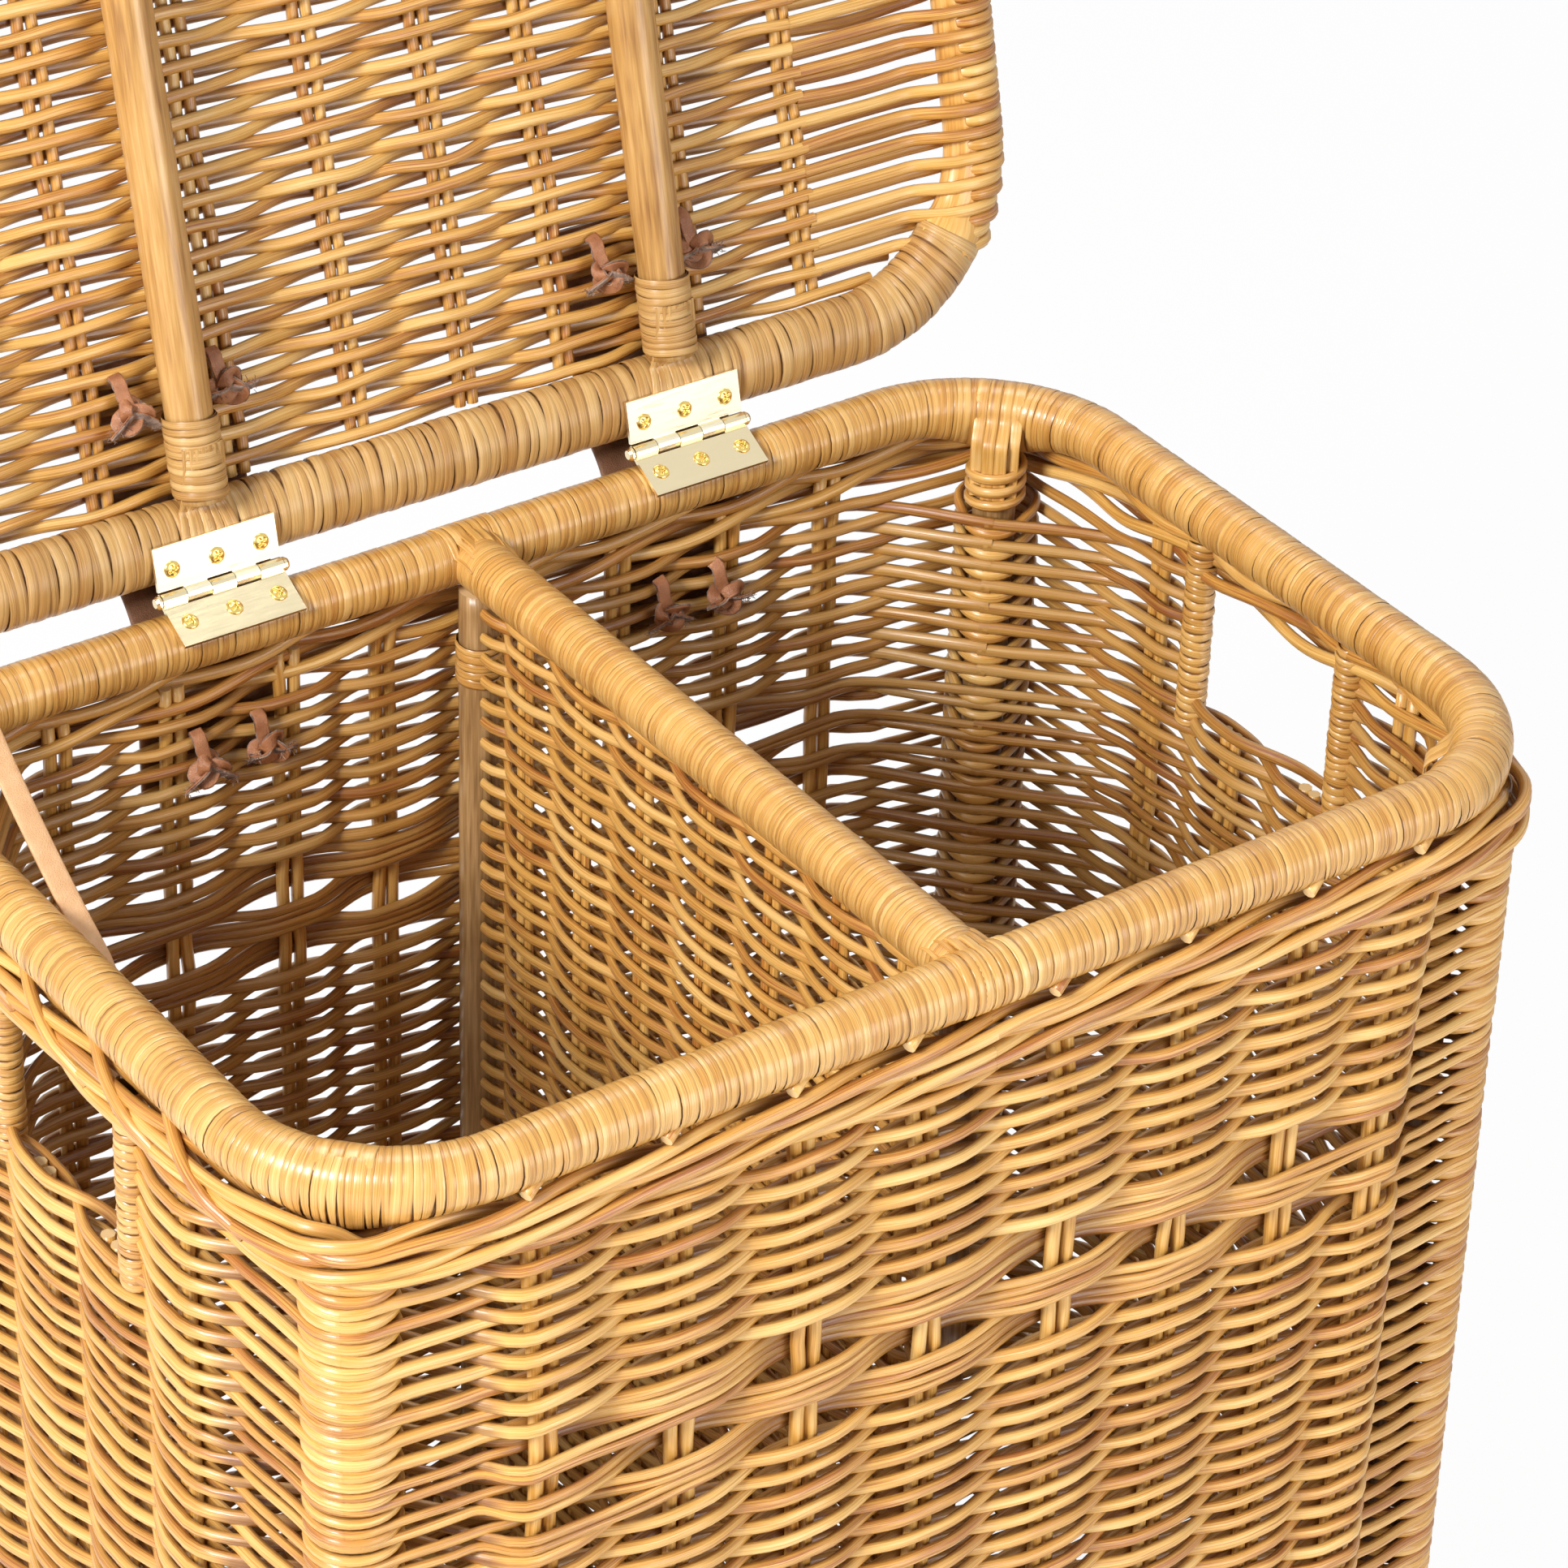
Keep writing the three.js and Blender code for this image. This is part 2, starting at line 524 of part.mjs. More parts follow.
/** Woven wall over one side and half of each corner next to it. */
function wallPanel(quarter, { drift, parity, ribboned }) {
  const turn = (quarter + 1) * Math.PI / 2;
  const out = new THREE.Vector2(Math.cos(turn), Math.sin(turn));
  const along = new THREE.Vector2(-out.y, out.x);
  const [reach, length] = quarter % 2 ? [RIM_HALF_WIDTH, RIM_HALF_DEPTH] : [RIM_HALF_DEPTH, RIM_HALF_WIDTH];
  const straight = length - RIM_CORNER_RADIUS;
  const at = (t, offset) => out.clone().multiplyScalar(reach + offset).addScaledVector(along, t);
  const onCorner = (sign, angle, offset) => at(sign * straight, -RIM_CORNER_RADIUS).add(
    new THREE.Vector2(RIM_CORNER_RADIUS + offset, 0).rotateAround(new THREE.Vector2(), turn + sign * angle),
  );
  const corner = Math.PI / 4 - TOUCH_GAP / 2 / (RIM_CORNER_RADIUS + wallInner);
  const flat = corner - CORNER_FLAT / (RIM_CORNER_RADIUS + wallOuter);
  const steps = CORNER_STEPS / 2;
  const arc = (sign) => Array.from({ length: steps + 1 }, (_, step) => (
    onCorner(sign, corner * step / steps, wallInner)
  ));

  const pitch = 2 * (straight - STAKE_CORNER_GAP) / (drift.length - 1);
  const pass = ({ turns, ribbon }, stake) => {
    const outermost = stake === 1 || stake === drift.length;
    if (ribbon && outermost) return 0;
    return (turns + stake + (ribbon ? 0 : parity)) % 2 ? -1 : 1;
  };
  const stakes = drift.map((shift, order) => (row) => at(
    STAKE_CORNER_GAP - straight + order * pitch + shift,
    weaveFace + WEAVE_SWING * pass(row, order + 1),
  ));
  const columns = [() => onCorner(-1, flat, wallOuter), ...stakes, () => onCorner(1, flat, wallOuter)];

  const positions = [];
  const index = [];
  const put = (point, z) => positions.push(point.x, point.y, z) / 3 - 1;
  const face = (...corners) => corners.slice(2).forEach((point, order) => (
    index.push(corners[0], corners[order + 1], point)
  ));
  const rows = weaveRows(ribboned);
  const last = rows.length - 1;
  const levels = rows.map(({ z }, order) => (order === 0 ? wallTop : order === last ? wallBottom : z));
  const edge = (point) => [put(point, wallTop), put(point, wallBottom)];
  const first = edge(onCorner(-1, corner, wallOuter));
  const weave = columns.map((column) => rows.map((row, order) => put(column(row), levels[order])));
  const final = edge(onCorner(1, corner, wallOuter));
  const inside = [...arc(-1).reverse(), ...arc(1)].map(edge);

  // Each cell folds along its lower diagonal, so that every outside pass is a long low bulge
  const standing = (...points) => points.reduce((sum, point) => (
    sum + out.x * positions[3 * point] + out.y * positions[3 * point + 1]
  ), 0);
  weave.slice(1).forEach((next, order) => {
    const here = weave[order];
    for (let row = 0; row < last; row += 1) {
      const cell = [here[row + 1], next[row + 1], next[row], here[row]];
      const falling = standing(cell[1], cell[3]) < standing(cell[0], cell[2]);
      face(...(falling ? [...cell.slice(1), cell[0]] : cell));
    }
  });
  face(first[1], ...weave[0].slice().reverse(), first[0]);
  face(final[1], final[0], ...weave[weave.length - 1]);
  inside.slice(1).forEach((next, order) => face(inside[order][0], next[0], next[1], inside[order][1]));
  face(inside[0][1], first[1], first[0], inside[0][0]);
  face(final[1], inside[inside.length - 1][1], inside[inside.length - 1][0], final[0]);
  for (const [row, level] of [[0, 0], [last, 1]]) {
    const outer = [first[level], ...weave.map((column) => column[row]), final[level]];
    const ring = [...outer, ...inside.map((pair) => pair[level]).reverse()];
    const outline = ring.map((point) => new THREE.Vector2(positions[3 * point], positions[3 * point + 1]));
    for (const [a, b, c] of THREE.ShapeUtils.triangulateShape(outline, [])) {
      face(...(level ? [ring[a], ring[c], ring[b]] : [ring[a], ring[b], ring[c]]));
    }
  }
  const geometry = new THREE.BufferGeometry();
  geometry.setAttribute('position', new THREE.Float32BufferAttribute(positions, 3));
  geometry.setIndex(index);
  geometry.computeVertexNormals();
  return geometry;
}

const notchHalf = HANDLE_WIDTH / 2 + HANDLE_POST_WIDTH + 2 * TOUCH_GAP;
const notchDepth = WALL_THICKNESS + weaveCrest;
const handlePostY = HANDLE_WIDTH / 2 + TOUCH_GAP + HANDLE_POST_WIDTH / 2;
for (const [name, quarter, parity] of [['back', 0, 1], ['front', 2, 0]]) {
  const panel = wallPanel(quarter, { drift: STAKE_DRIFT[name], parity, ribboned: true });
  add(hamper, `wall_${name}`, panel, FINISH.weave);
}
for (const [name, sx, quarter, parity] of [['left', -1, 1, 0], ['right', 1, 3, 1]]) {
  const middle = sx * (RIM_HALF_WIDTH + WALL_OUTSET);
  const notch = box(
    new THREE.Vector3(middle - notchDepth, -notchHalf, handleSill),
    new THREE.Vector3(middle + notchDepth, notchHalf, wallTop + WALE_HEIGHT / 2),
  );
  const panel = wallPanel(quarter, { drift: STAKE_DRIFT[name], parity, ribboned: false });
  add(hamper, `wall_${name}`, cut(panel, [notch]), FINISH.weave);
  for (const [end, sy] of [['front', -1], ['back', 1]]) {
    add(hamper, `handle_post_${name}_${end}`, upright(
      HANDLE_POST_WIDTH / 2,
      middle,
      sy * handlePostY,
      handleSill + TOUCH_GAP,
      wallTop,
    ), FINISH.cane);
  }
}

// Lid, drawn shut and level about the hinge axis
const lidPath = loopPath(lidHalfWidth, lidHalfDepth, LID_CORNER_RADIUS);
const lidSection = ovalSection(LID_HOOP_WIDTH / 2, LID_HOOP_THICKNESS / 2);
const lidHoop = hoop(lidPath, lidSection, lidHoopZ).translate(0, lidCentreY, 0);
add(lid, 'lid_hoop', cut(lidHoop, lidScrewHoles), FINISH.cane);

const lidPanelInset = LID_HOOP_WIDTH / 2 + TOUCH_GAP;
const lidPanel = plate(
  lidHalfWidth - lidPanelInset,
  lidHalfDepth - lidPanelInset,
  LID_CORNER_RADIUS - lidPanelInset,
  lidPanelBottom,
  lidPanelTop,
);
add(lid, 'lid_panel', lidPanel.translate(0, lidCentreY, 0), FINISH.weave);

/** Flat cane wound round a brace end, and the least gap between its loops. */
function binding() {
  const count = BINDING_LOOPS * LOOP_STEPS + 1;
  const middle = bindingInner + BINDING_STRIP_THICKNESS / 2;
  const centres = Array.from({ length: count }, (_, i) => {
    const angle = i * 2 * Math.PI / LOOP_STEPS;
    const along = (i / LOOP_STEPS - BINDING_LOOPS / 2) * BINDING_PITCH;
    return new THREE.Vector3(middle * Math.cos(angle), along, middle * Math.sin(angle));
  });
  const widthDirs = centres.map(() => new THREE.Vector3(0, 1, 0));
  const rise = BINDING_PITCH / (2 * Math.PI * middle);
  const halfAcross = BINDING_STRIP_WIDTH / 2 * Math.sqrt(1 + rise * rise);
  let least = Infinity;
  for (let i = 0; i + LOOP_STEPS < count; i += 1) {
    least = Math.min(least, centres[i + LOOP_STEPS].y - centres[i].y - 2 * halfAcross);
  }
  return { geometry: band(centres, widthDirs, BINDING_STRIP_WIDTH / 2, BINDING_STRIP_THICKNESS / 2), least };
}

const collar = binding();
console.log(`least gap between binding loops ${collar.least.toFixed(2)} mm`);
const collarReach = BINDING_LOOPS / 2 * BINDING_PITCH + BINDING_STRIP_WIDTH / 2 + TOUCH_GAP;
const collarY = lidHalfDepth - LID_HOOP_WIDTH / 2 - TOUCH_GAP - collarReach;
for (const [side, sx] of [['left', -1], ['right', 1]]) {
  const brace = new THREE.Group();
  brace.position.set(sx * braceX, lidCentreY, braceZ);
  lid.add(brace);
  add(brace, `lid_brace_${side}`, lengthways(BRACE_DIAMETER / 2, 0, braceHalfLength, 0), FINISH.pole);
  for (const [end, sy] of [['front', -1], ['back', 1]]) {
    add(brace, `brace_binding_${side}_${end}`, collar.geometry.clone().translate(0, sy * collarY, 0), FINISH.cane);
  }
}

// Leather hinge straps: up the outside of the back wall, behind the gap and onto the lid's outer face
const lidPoint = (reach, height) => new THREE.Vector2(
  axisY - reach * Math.cos(hinged) + height * Math.sin(hinged),
  axisZ + reach * Math.sin(hinged) + height * Math.cos(hinged),
);
const strapHalf = HINGE_STRAP_THICKNESS / 2;
const strapWallY = RIM_HALF_DEPTH + Math.max(waleOuter, rimRadius, wallOuter, weaveCrest) + TOUCH_GAP + strapHalf;
const strapLidHeight = lidPanelTop + TOUCH_GAP + strapHalf;
const strapCentres = roundedLine([
  new THREE.Vector2(strapWallY, rimZ - HINGE_STRAP_DROP),
  new THREE.Vector2(strapWallY, rimZ),
  lidPoint(lidBackY - LID_HOOP_WIDTH / 4, strapLidHeight),
  lidPoint(HINGE_STRAP_LID_REACH, strapLidHeight),
].map((point) => new THREE.Vector3(0, point.x, point.y)), LID_HOOP_WIDTH / 2);
for (const [side, sx] of [['left', -1], ['right', 1]]) {
  const strap = band(strapCentres, strapCentres.map(() => new THREE.Vector3(1, 0, 0)), HINGE_STRAP_WIDTH / 2, strapHalf);
  add(hamper, `hinge_strap_${side}`, strap.translate(sx * hingeX, 0, 0), FINISH.brown);
}

/** Knotted thong: a flattened knot with two short tails, its back face at zero. */
function tie() {
  const knot = new THREE.SphereGeometry(0.5, 8, 6).scale(TIE_WIDTH, TIE_DEPTH, TIE_HEIGHT);
  const tail = (sign) => new THREE.CylinderGeometry(TIE_DEPTH / 4, TIE_DEPTH / 3, TIE_TAIL_LENGTH, 6)
    .translate(0, TIE_TAIL_LENGTH / 2, 0)
    .rotateZ(Math.PI + sign * 0.6)
    .rotateX(Math.PI / 2);
  return join(knot, tail(-1), tail(1)).translate(0, -TIE_DEPTH / 2, 0);
}

const knot = tie();
for (const [side, sx] of [['left', -1], ['right', 1]]) {
  for (const [end, step] of [['outer', 1], ['inner', -1]]) {
    const wallTie = add(hamper, `wall_tie_${side}_${end}`, knot, FINISH.brown);
    wallTie.position.set(sx * (hingeX + step * WALL_TIE_SPREAD / 2), wallInnerY - TOUCH_GAP, rimZ - WALL_TIE_DROP);
    const lidTie = add(lid, `lid_tie_${side}_${end}`, knot, FINISH.brown);
    lidTie.position.set(sx * (hingeX + step * LID_TIE_SPREAD / 2), -LID_TIE_REACH, lidPanelBottom - TOUCH_GAP);
    lidTie.rotation.x = Math.PI / 2;
  }
}

// Leather stay: from the inside of the left border past the rim to the underside of the lid
const stayHalf = STAY_THICKNESS / 2;
const stayX = -(lidHalfWidth - LID_HOOP_WIDTH / 2 - 3 * TOUCH_GAP - STAY_WIDTH / 2);
const stayWallX = -(RIM_HALF_WIDTH + waleInner - TOUCH_GAP - STAY_THICKNESS);
const stayTop = lidPoint(STAY_LID_REACH, lidPanelBottom - TOUCH_GAP - stayHalf);
const stayLow = lidPoint(STAY_LID_REACH - STAY_WIDTH, lidPanelBottom - TOUCH_GAP - stayHalf);
const stayFoot = new THREE.Vector3(stayWallX, -STAY_FOOT_SETBACK, rimZ - STAY_DROP);
const stayBend = new THREE.Vector3(stayX, -STAY_FOOT_SETBACK / 2, rimZ - rimRadius);
const stayCentres = roundedLine([
  stayFoot,
  stayFoot.clone().lerp(stayBend, 0.3).setX(stayWallX),
  stayBend,
  new THREE.Vector3(stayX, stayLow.x, stayLow.y),
  new THREE.Vector3(stayX, stayTop.x, stayTop.y),
], STAY_WIDTH);
const stayTurn = stayCentres.map((centre) => (
  THREE.MathUtils.smoothstep(centre.z, rimZ - STAY_DROP * 0.7, rimZ - rimRadius)
));
const stayDirs = stayTurn.map((turn) => new THREE.Vector3(turn, (1 - turn) * 0.9, -(1 - turn) * 0.44).normalize());
add(hamper, 'lid_stay', band(stayCentres, stayDirs, STAY_WIDTH / 2, stayHalf), FINISH.tan);

export default hamper;
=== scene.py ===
"""Two-compartment rattan hamper with its lid open, dressed over its solids.

Sizes in the classes are millimetres; meshes are written in metres.
"""
import logging
import math
from dataclasses import dataclass
from enum import Enum, IntEnum

import bpy
import numpy as np
from mathutils import Matrix, Vector


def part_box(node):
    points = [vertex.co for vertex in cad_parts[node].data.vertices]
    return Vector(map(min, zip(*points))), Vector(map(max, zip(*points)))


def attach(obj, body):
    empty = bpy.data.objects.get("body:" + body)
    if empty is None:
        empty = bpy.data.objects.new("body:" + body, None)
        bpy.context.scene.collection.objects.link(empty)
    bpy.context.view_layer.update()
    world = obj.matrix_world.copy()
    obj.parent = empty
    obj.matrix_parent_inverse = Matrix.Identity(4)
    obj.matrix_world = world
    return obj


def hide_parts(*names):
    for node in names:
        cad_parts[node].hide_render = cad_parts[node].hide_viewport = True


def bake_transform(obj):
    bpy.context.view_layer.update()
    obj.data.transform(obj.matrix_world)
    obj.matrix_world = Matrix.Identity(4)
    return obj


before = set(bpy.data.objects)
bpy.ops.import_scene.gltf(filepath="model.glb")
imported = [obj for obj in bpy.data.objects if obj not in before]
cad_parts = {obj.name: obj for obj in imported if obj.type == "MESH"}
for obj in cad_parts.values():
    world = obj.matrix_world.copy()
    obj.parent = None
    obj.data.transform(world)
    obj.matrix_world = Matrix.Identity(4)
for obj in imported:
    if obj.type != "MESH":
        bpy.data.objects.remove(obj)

LOG = logging.getLogger("hamper")
MM = 0.001
TURN = 2.0 * math.pi
FAR = 1e6
X_AXIS, Y_AXIS, UP = np.eye(3)
Array = np.ndarray
Point = tuple[float, float, float]
Colour = tuple[float, float, float]
Material = bpy.types.Material
Socket = bpy.types.NodeSocket


class Body(Enum):
    """The two bodies that pieces ride on."""

    BASKET = "basket"
    LID = "lid"


class Slot(Enum):
    """Material slots of the record."""

    CANE = "cane"
    WEAVE = "weave"
    POLE = "pole"
    BRASS = "brass"
    STRAP = "strap_leather"
    STAY = "stay_leather"


class End(Enum):
    """How a woven row ends: at a handle's post, or outside or inside a corner post."""

    POST = "post"
    OUTSIDE = "outside"
    INSIDE = "inside"


class Stuff(IntEnum):
    """Materials of a gathered mesh, by their numbers."""

    STRAND = 0
    CUT = 1
    CORE = 2


# Arrays and paths


def unit(v: Array) -> Array:
    """Vectors along the last axis, scaled to length one."""
    return v / np.maximum(np.linalg.norm(v, axis=-1, keepdims=True), 1e-9)


def raised(points: Array, z: Array) -> Array:
    """Level points lifted to heights."""
    return points + z[..., None] * UP


def held(values: Array) -> Array:
    """Values held between 0 and 1."""
    return np.clip(values, 0.0, 1.0)


def eased(t: Array) -> Array:
    """A share that starts and ends level: three squares less two cubes."""
    return t * t * (3 - 2 * t)


def half_wave(t: Array) -> Array:
    """A share that rises from 0 to 1 along half a cosine."""
    return 0.5 - 0.5 * np.cos(math.pi * t)


def bell(distance: Array, reach: float) -> Array:
    """A bell curve, 1 at its middle, that falls away over a reach."""
    return np.exp(-((distance / reach) ** 2))


def spread(nodes: Array, steps: int) -> Array:
    """Stations along a line with the same number of steps between neighbouring nodes."""
    count = (len(nodes) - 1) * steps + 1
    return np.interp(np.arange(count) / steps, np.arange(len(nodes)), nodes)


def rounded(points: Array, rounds: int = 3) -> Array:
    """A line of points with its corners cut at a quarter of each stretch, several times over."""
    for _ in range(rounds):
        cuts = [0.75 * points[:-1] + 0.25 * points[1:], 0.25 * points[:-1] + 0.75 * points[1:]]
        points = np.concatenate([points[:1], np.stack(cuts, 1).reshape(-1, 3), points[-1:]])
    return points


class Drift:
    """Smooth random drift along rows: a sum of sines that closes on itself after a period."""

    def __init__(
        self,
        seed: int,
        rows: int,
        period: float = 1978.0,
        waves: int = 6,
        turns: tuple[int, int] = (6, 44),
    ) -> None:
        """Draws the number of turns and the phase of each sine of each row."""
        rng = np.random.default_rng(seed)
        self.turns = rng.integers(*turns, (waves, rows, 1)) * TURN / period
        self.phase = rng.uniform(0.0, TURN, (waves, rows, 1))

    def at(self, s: Array, size: float, rows: Array | None = None) -> Array:
        """Drift of the given size at stations, rows by points, for all rows or some."""
        pick = slice(None) if rows is None else rows
        waves = np.sin(s * self.turns[:, pick] + self.phase[:, pick])
        return size * math.sqrt(2.0 / len(waves)) * waves.sum(0)


def weave_wave(s: Array, nodes: Array, values: Array, flats: Array) -> Array:
    """How far woven rods stand off the middle of their panel.

    A rod keeps the value of each node for the flat stretch around it, and passes from one
    value to the next along half a cosine.

    Args:
        s: Stations, rows by points.
        nodes: Stations of the stakes, in rising order.
        values: Offset of each row at each stake, rows by stakes.
        flats: Half the flat stretch at each stake.

    Returns:
        Offsets, rows by points.
    """
    i = np.clip(np.searchsorted(nodes, s, side="right") - 1, 0, len(nodes) - 2)
    gap = nodes[i + 1] - nodes[i] - flats[i] - flats[i + 1]
    t = held((s - nodes[i] - flats[i]) / np.maximum(gap, 1.0))
    first = np.take_along_axis(values, i, axis=1)
    second = np.take_along_axis(values, i + 1, axis=1)
    return first + (second - first) * half_wave(t)


@dataclass(frozen=True)
class RoundedLoop:
    """Rounded rectangle walked anticlockwise from the middle of its front side."""

    half_width: float
    half_depth: float
    radius: float

    @property
    def straight(self) -> tuple[float, float]:
        """Half the straight stretch of the long and the short sides."""
        return self.half_width - self.radius, self.half_depth - self.radius

    @property
    def corner(self) -> float:
        """Length of one corner."""
        return TURN / 4 * self.radius

    @property
    def total(self) -> float:
        """Length of the whole loop."""
        w, d = self.straight
        return 4 * (w + d + self.corner)

    def from_corner(self, s: Array) -> Array:
        """Distance along the loop from the middle of the nearest corner."""
        w, d = self.straight
        middles = np.array([w + self.corner / 2, w + 2 * d + self.corner * 1.5])
        half = self.total / 2
        return np.abs(np.mod(s[..., None] - middles + half / 2, half) - half / 2).min(-1)

    def grown(self, by: float) -> "RoundedLoop":
        """The loop at a distance outside this one."""
        return RoundedLoop(self.half_width + by, self.half_depth + by, self.radius + by)

    def at(self, s: Array) -> tuple[Array, Array]:
        """Points and outward normals at stations of any shape.

        Each stretch starts at a known point and heading, and the heading turns evenly on
        the four corners.
        """
        w, d = self.straight
        a, b, r, q = self.half_width, self.half_depth, self.radius, self.corner
        starts = np.cumsum([0, w, q, 2 * d, q, 2 * w, q, 2 * d, q, w])
        s = np.mod(s, starts[-1])
        i = np.clip(np.searchsorted(starts, s, side="right") - 1, 0, 8)
        t = s - starts[i]
        x0 = np.array([0, w, a, a, w, -w, -a, -a, -w])[i]
        y0 = np.array([-b, -b, -d, d, b, b, d, -d, -b])[i]
        h0 = np.radians(np.array([0, 0, 90, 90, 180, 180, 270, 270, 360]))[i]
        h = h0 + np.where(i % 2 == 1, t / r, 0.0)
        x = np.where(i % 2 == 1, x0 + r * (np.sin(h) - np.sin(h0)), x0 + t * np.cos(h0))
        y = np.where(i % 2 == 1, y0 + r * (np.cos(h0) - np.cos(h)), y0 + t * np.sin(h0))
        level = np.zeros_like(x)
        return np.stack([x, y, level], -1), np.stack([np.sin(h), -np.cos(h), level], -1)


@dataclass(frozen=True)
class LoopCourse:
    """A level loop that a pole follows, moved along y to its middle."""

    loop: RoundedLoop
    z: float
    y: float = 0.0

    @property
    def length(self) -> float:
        """Length of the course."""
        return self.loop.total

    def frame(self, s: Array) -> tuple[Array, Array, Array]:
        """Centres, outward directions and upward directions at stations."""
        point, out = self.loop.at(s)
        up = np.broadcast_to(UP, point.shape)
        return point + np.array([0.0, self.y, self.z]), out, up

    def from_corner(self, s: Array) -> Array:
        """Distance along the course from its nearest corner."""
        return self.loop.from_corner(s)


@dataclass(frozen=True)
class LineCourse:
    """A straight pole between two points, with a direction that counts as up."""

    start: Point
    end: Point
    up: Point = (0.0, 0.0, 1.0)

    @property
    def length(self) -> float:
        """Length of the course."""
        return math.dist(self.start, self.end)

    def frame(self, s: Array) -> tuple[Array, Array, Array]:
        """Centres, sideways directions and upward directions at stations."""
        along = unit(np.subtract(self.end, self.start))
        up = np.array(self.up)
        centre = np.array(self.start) + s[..., None] * along
        shape = s.shape + (3,)
        return centre, np.broadcast_to(np.cross(along, up), shape), np.broadcast_to(up, shape)

    def from_corner(self, s: Array) -> Array:
        """Distance from the nearest corner, which a straight pole lacks."""
        return np.full(s.shape, FAR)


@dataclass(frozen=True)
class Placing:
    """A turn about x and a shift in y and z, from a body's own axes to the row frame."""

    degrees: float = 0.0
    y: float = 0.0
    z: float = 0.0

    def apply(self, points: Array) -> Array:
        """Points turned and shifted."""
        c, s = math.cos(math.radians(self.degrees)), math.sin(math.radians(self.degrees))
        turn = np.array([[1, 0, 0], [0, c, -s], [0, s, c]])
        return points @ turn.T + np.array([0.0, self.y, self.z])


# Places across a strip of cane, its height there and how deep in shade it lies
STRIP_ACROSS = np.array([0.0, 0.1, 0.36, 0.64, 0.9, 1.0])
STRIP_DOME = np.array([0.0, 0.62, 0.95, 1.0, 0.7, 0.05])
STRIP_SHADE = np.array([0.95, 0.1, 0.0, 0.0, 0.1, 0.95])


@dataclass(frozen=True)
class Winding:
    """How flat strips of cane are wound round a pole.

    Angles are in degrees, from outwards to upwards.

    Attributes:
        half_width: Half the wound pole's size sideways.
        half_height: Half the wound pole's size upwards.
        widths: Least and greatest width of a strip.
        slant: Widths that a strip climbs in one turn.
        thick: Height of a strip over the core.
        fill: Share of its place that a strip covers.
        around: Steps round the pole.
        sway: Size of the strips' random lean.
        flat: Share of a strip's height that its edges keep.
        seam: Angle where strips start and end.
        slits: How much narrower a strip may get, which opens slits.
        slit_angle: Angle where the slits are widest.
        part_angle: Angle where strips part round something.
        apart: How far they part there.
        part_reach: How far along the pole the parting goes.
        part_turn: How far round the pole it goes, in radians.
        drop: How much lower the winding hangs at the corners of a loop, where it goes
            round the head of a post too.
        drop_reach: How far from a corner that goes.
        core_sides: Number of the core's sides.
        core_step: Length of one step of the core.
        core_gap: How far below the strips the core stays.
    """

    half_width: float
    half_height: float
    widths: tuple[float, float]
    slant: float = 1.0
    thick: float = 0.8
    fill: float = 0.97
    around: int = 22
    sway: float = 0.35
    flat: float = 0.0
    seam: float = -90.0
    slits: float = 0.0
    slit_angle: float = -62.0
    part_angle: float = -58.0
    apart: float = 3.8
    part_reach: float = 7.0
    part_turn: float = 0.55
    drop: float = 0.0
    drop_reach: float = 27.0
    core_sides: int = 14
    core_step: float = 12.0
    core_gap: float = 0.15

    def edges(self, rng: np.random.Generator, length: float, start: float) -> Array:
        """Stations between strips of random widths that fill a length exactly."""
        count = int(length / (sum(self.widths) / 2))
        edges = np.concatenate([[0.0], np.cumsum(rng.uniform(*self.widths, count))])
        return start + edges * (length / edges[-1])

    def hang(self, course: LoopCourse | LineCourse, s: Array, turn: Array) -> Array:
        """How much lower the underside hangs: a bell curve round each corner of the course."""
        return self.drop * bell(course.from_corner(s), self.drop_reach) * held(-np.sin(turn))


def placed(name: str, data: bpy.types.ID) -> bpy.types.Object:
    """A new object at the origin, put into the scene."""
    obj = bpy.data.objects.new(name, data)
    bpy.context.scene.collection.objects.link(obj)
    return obj


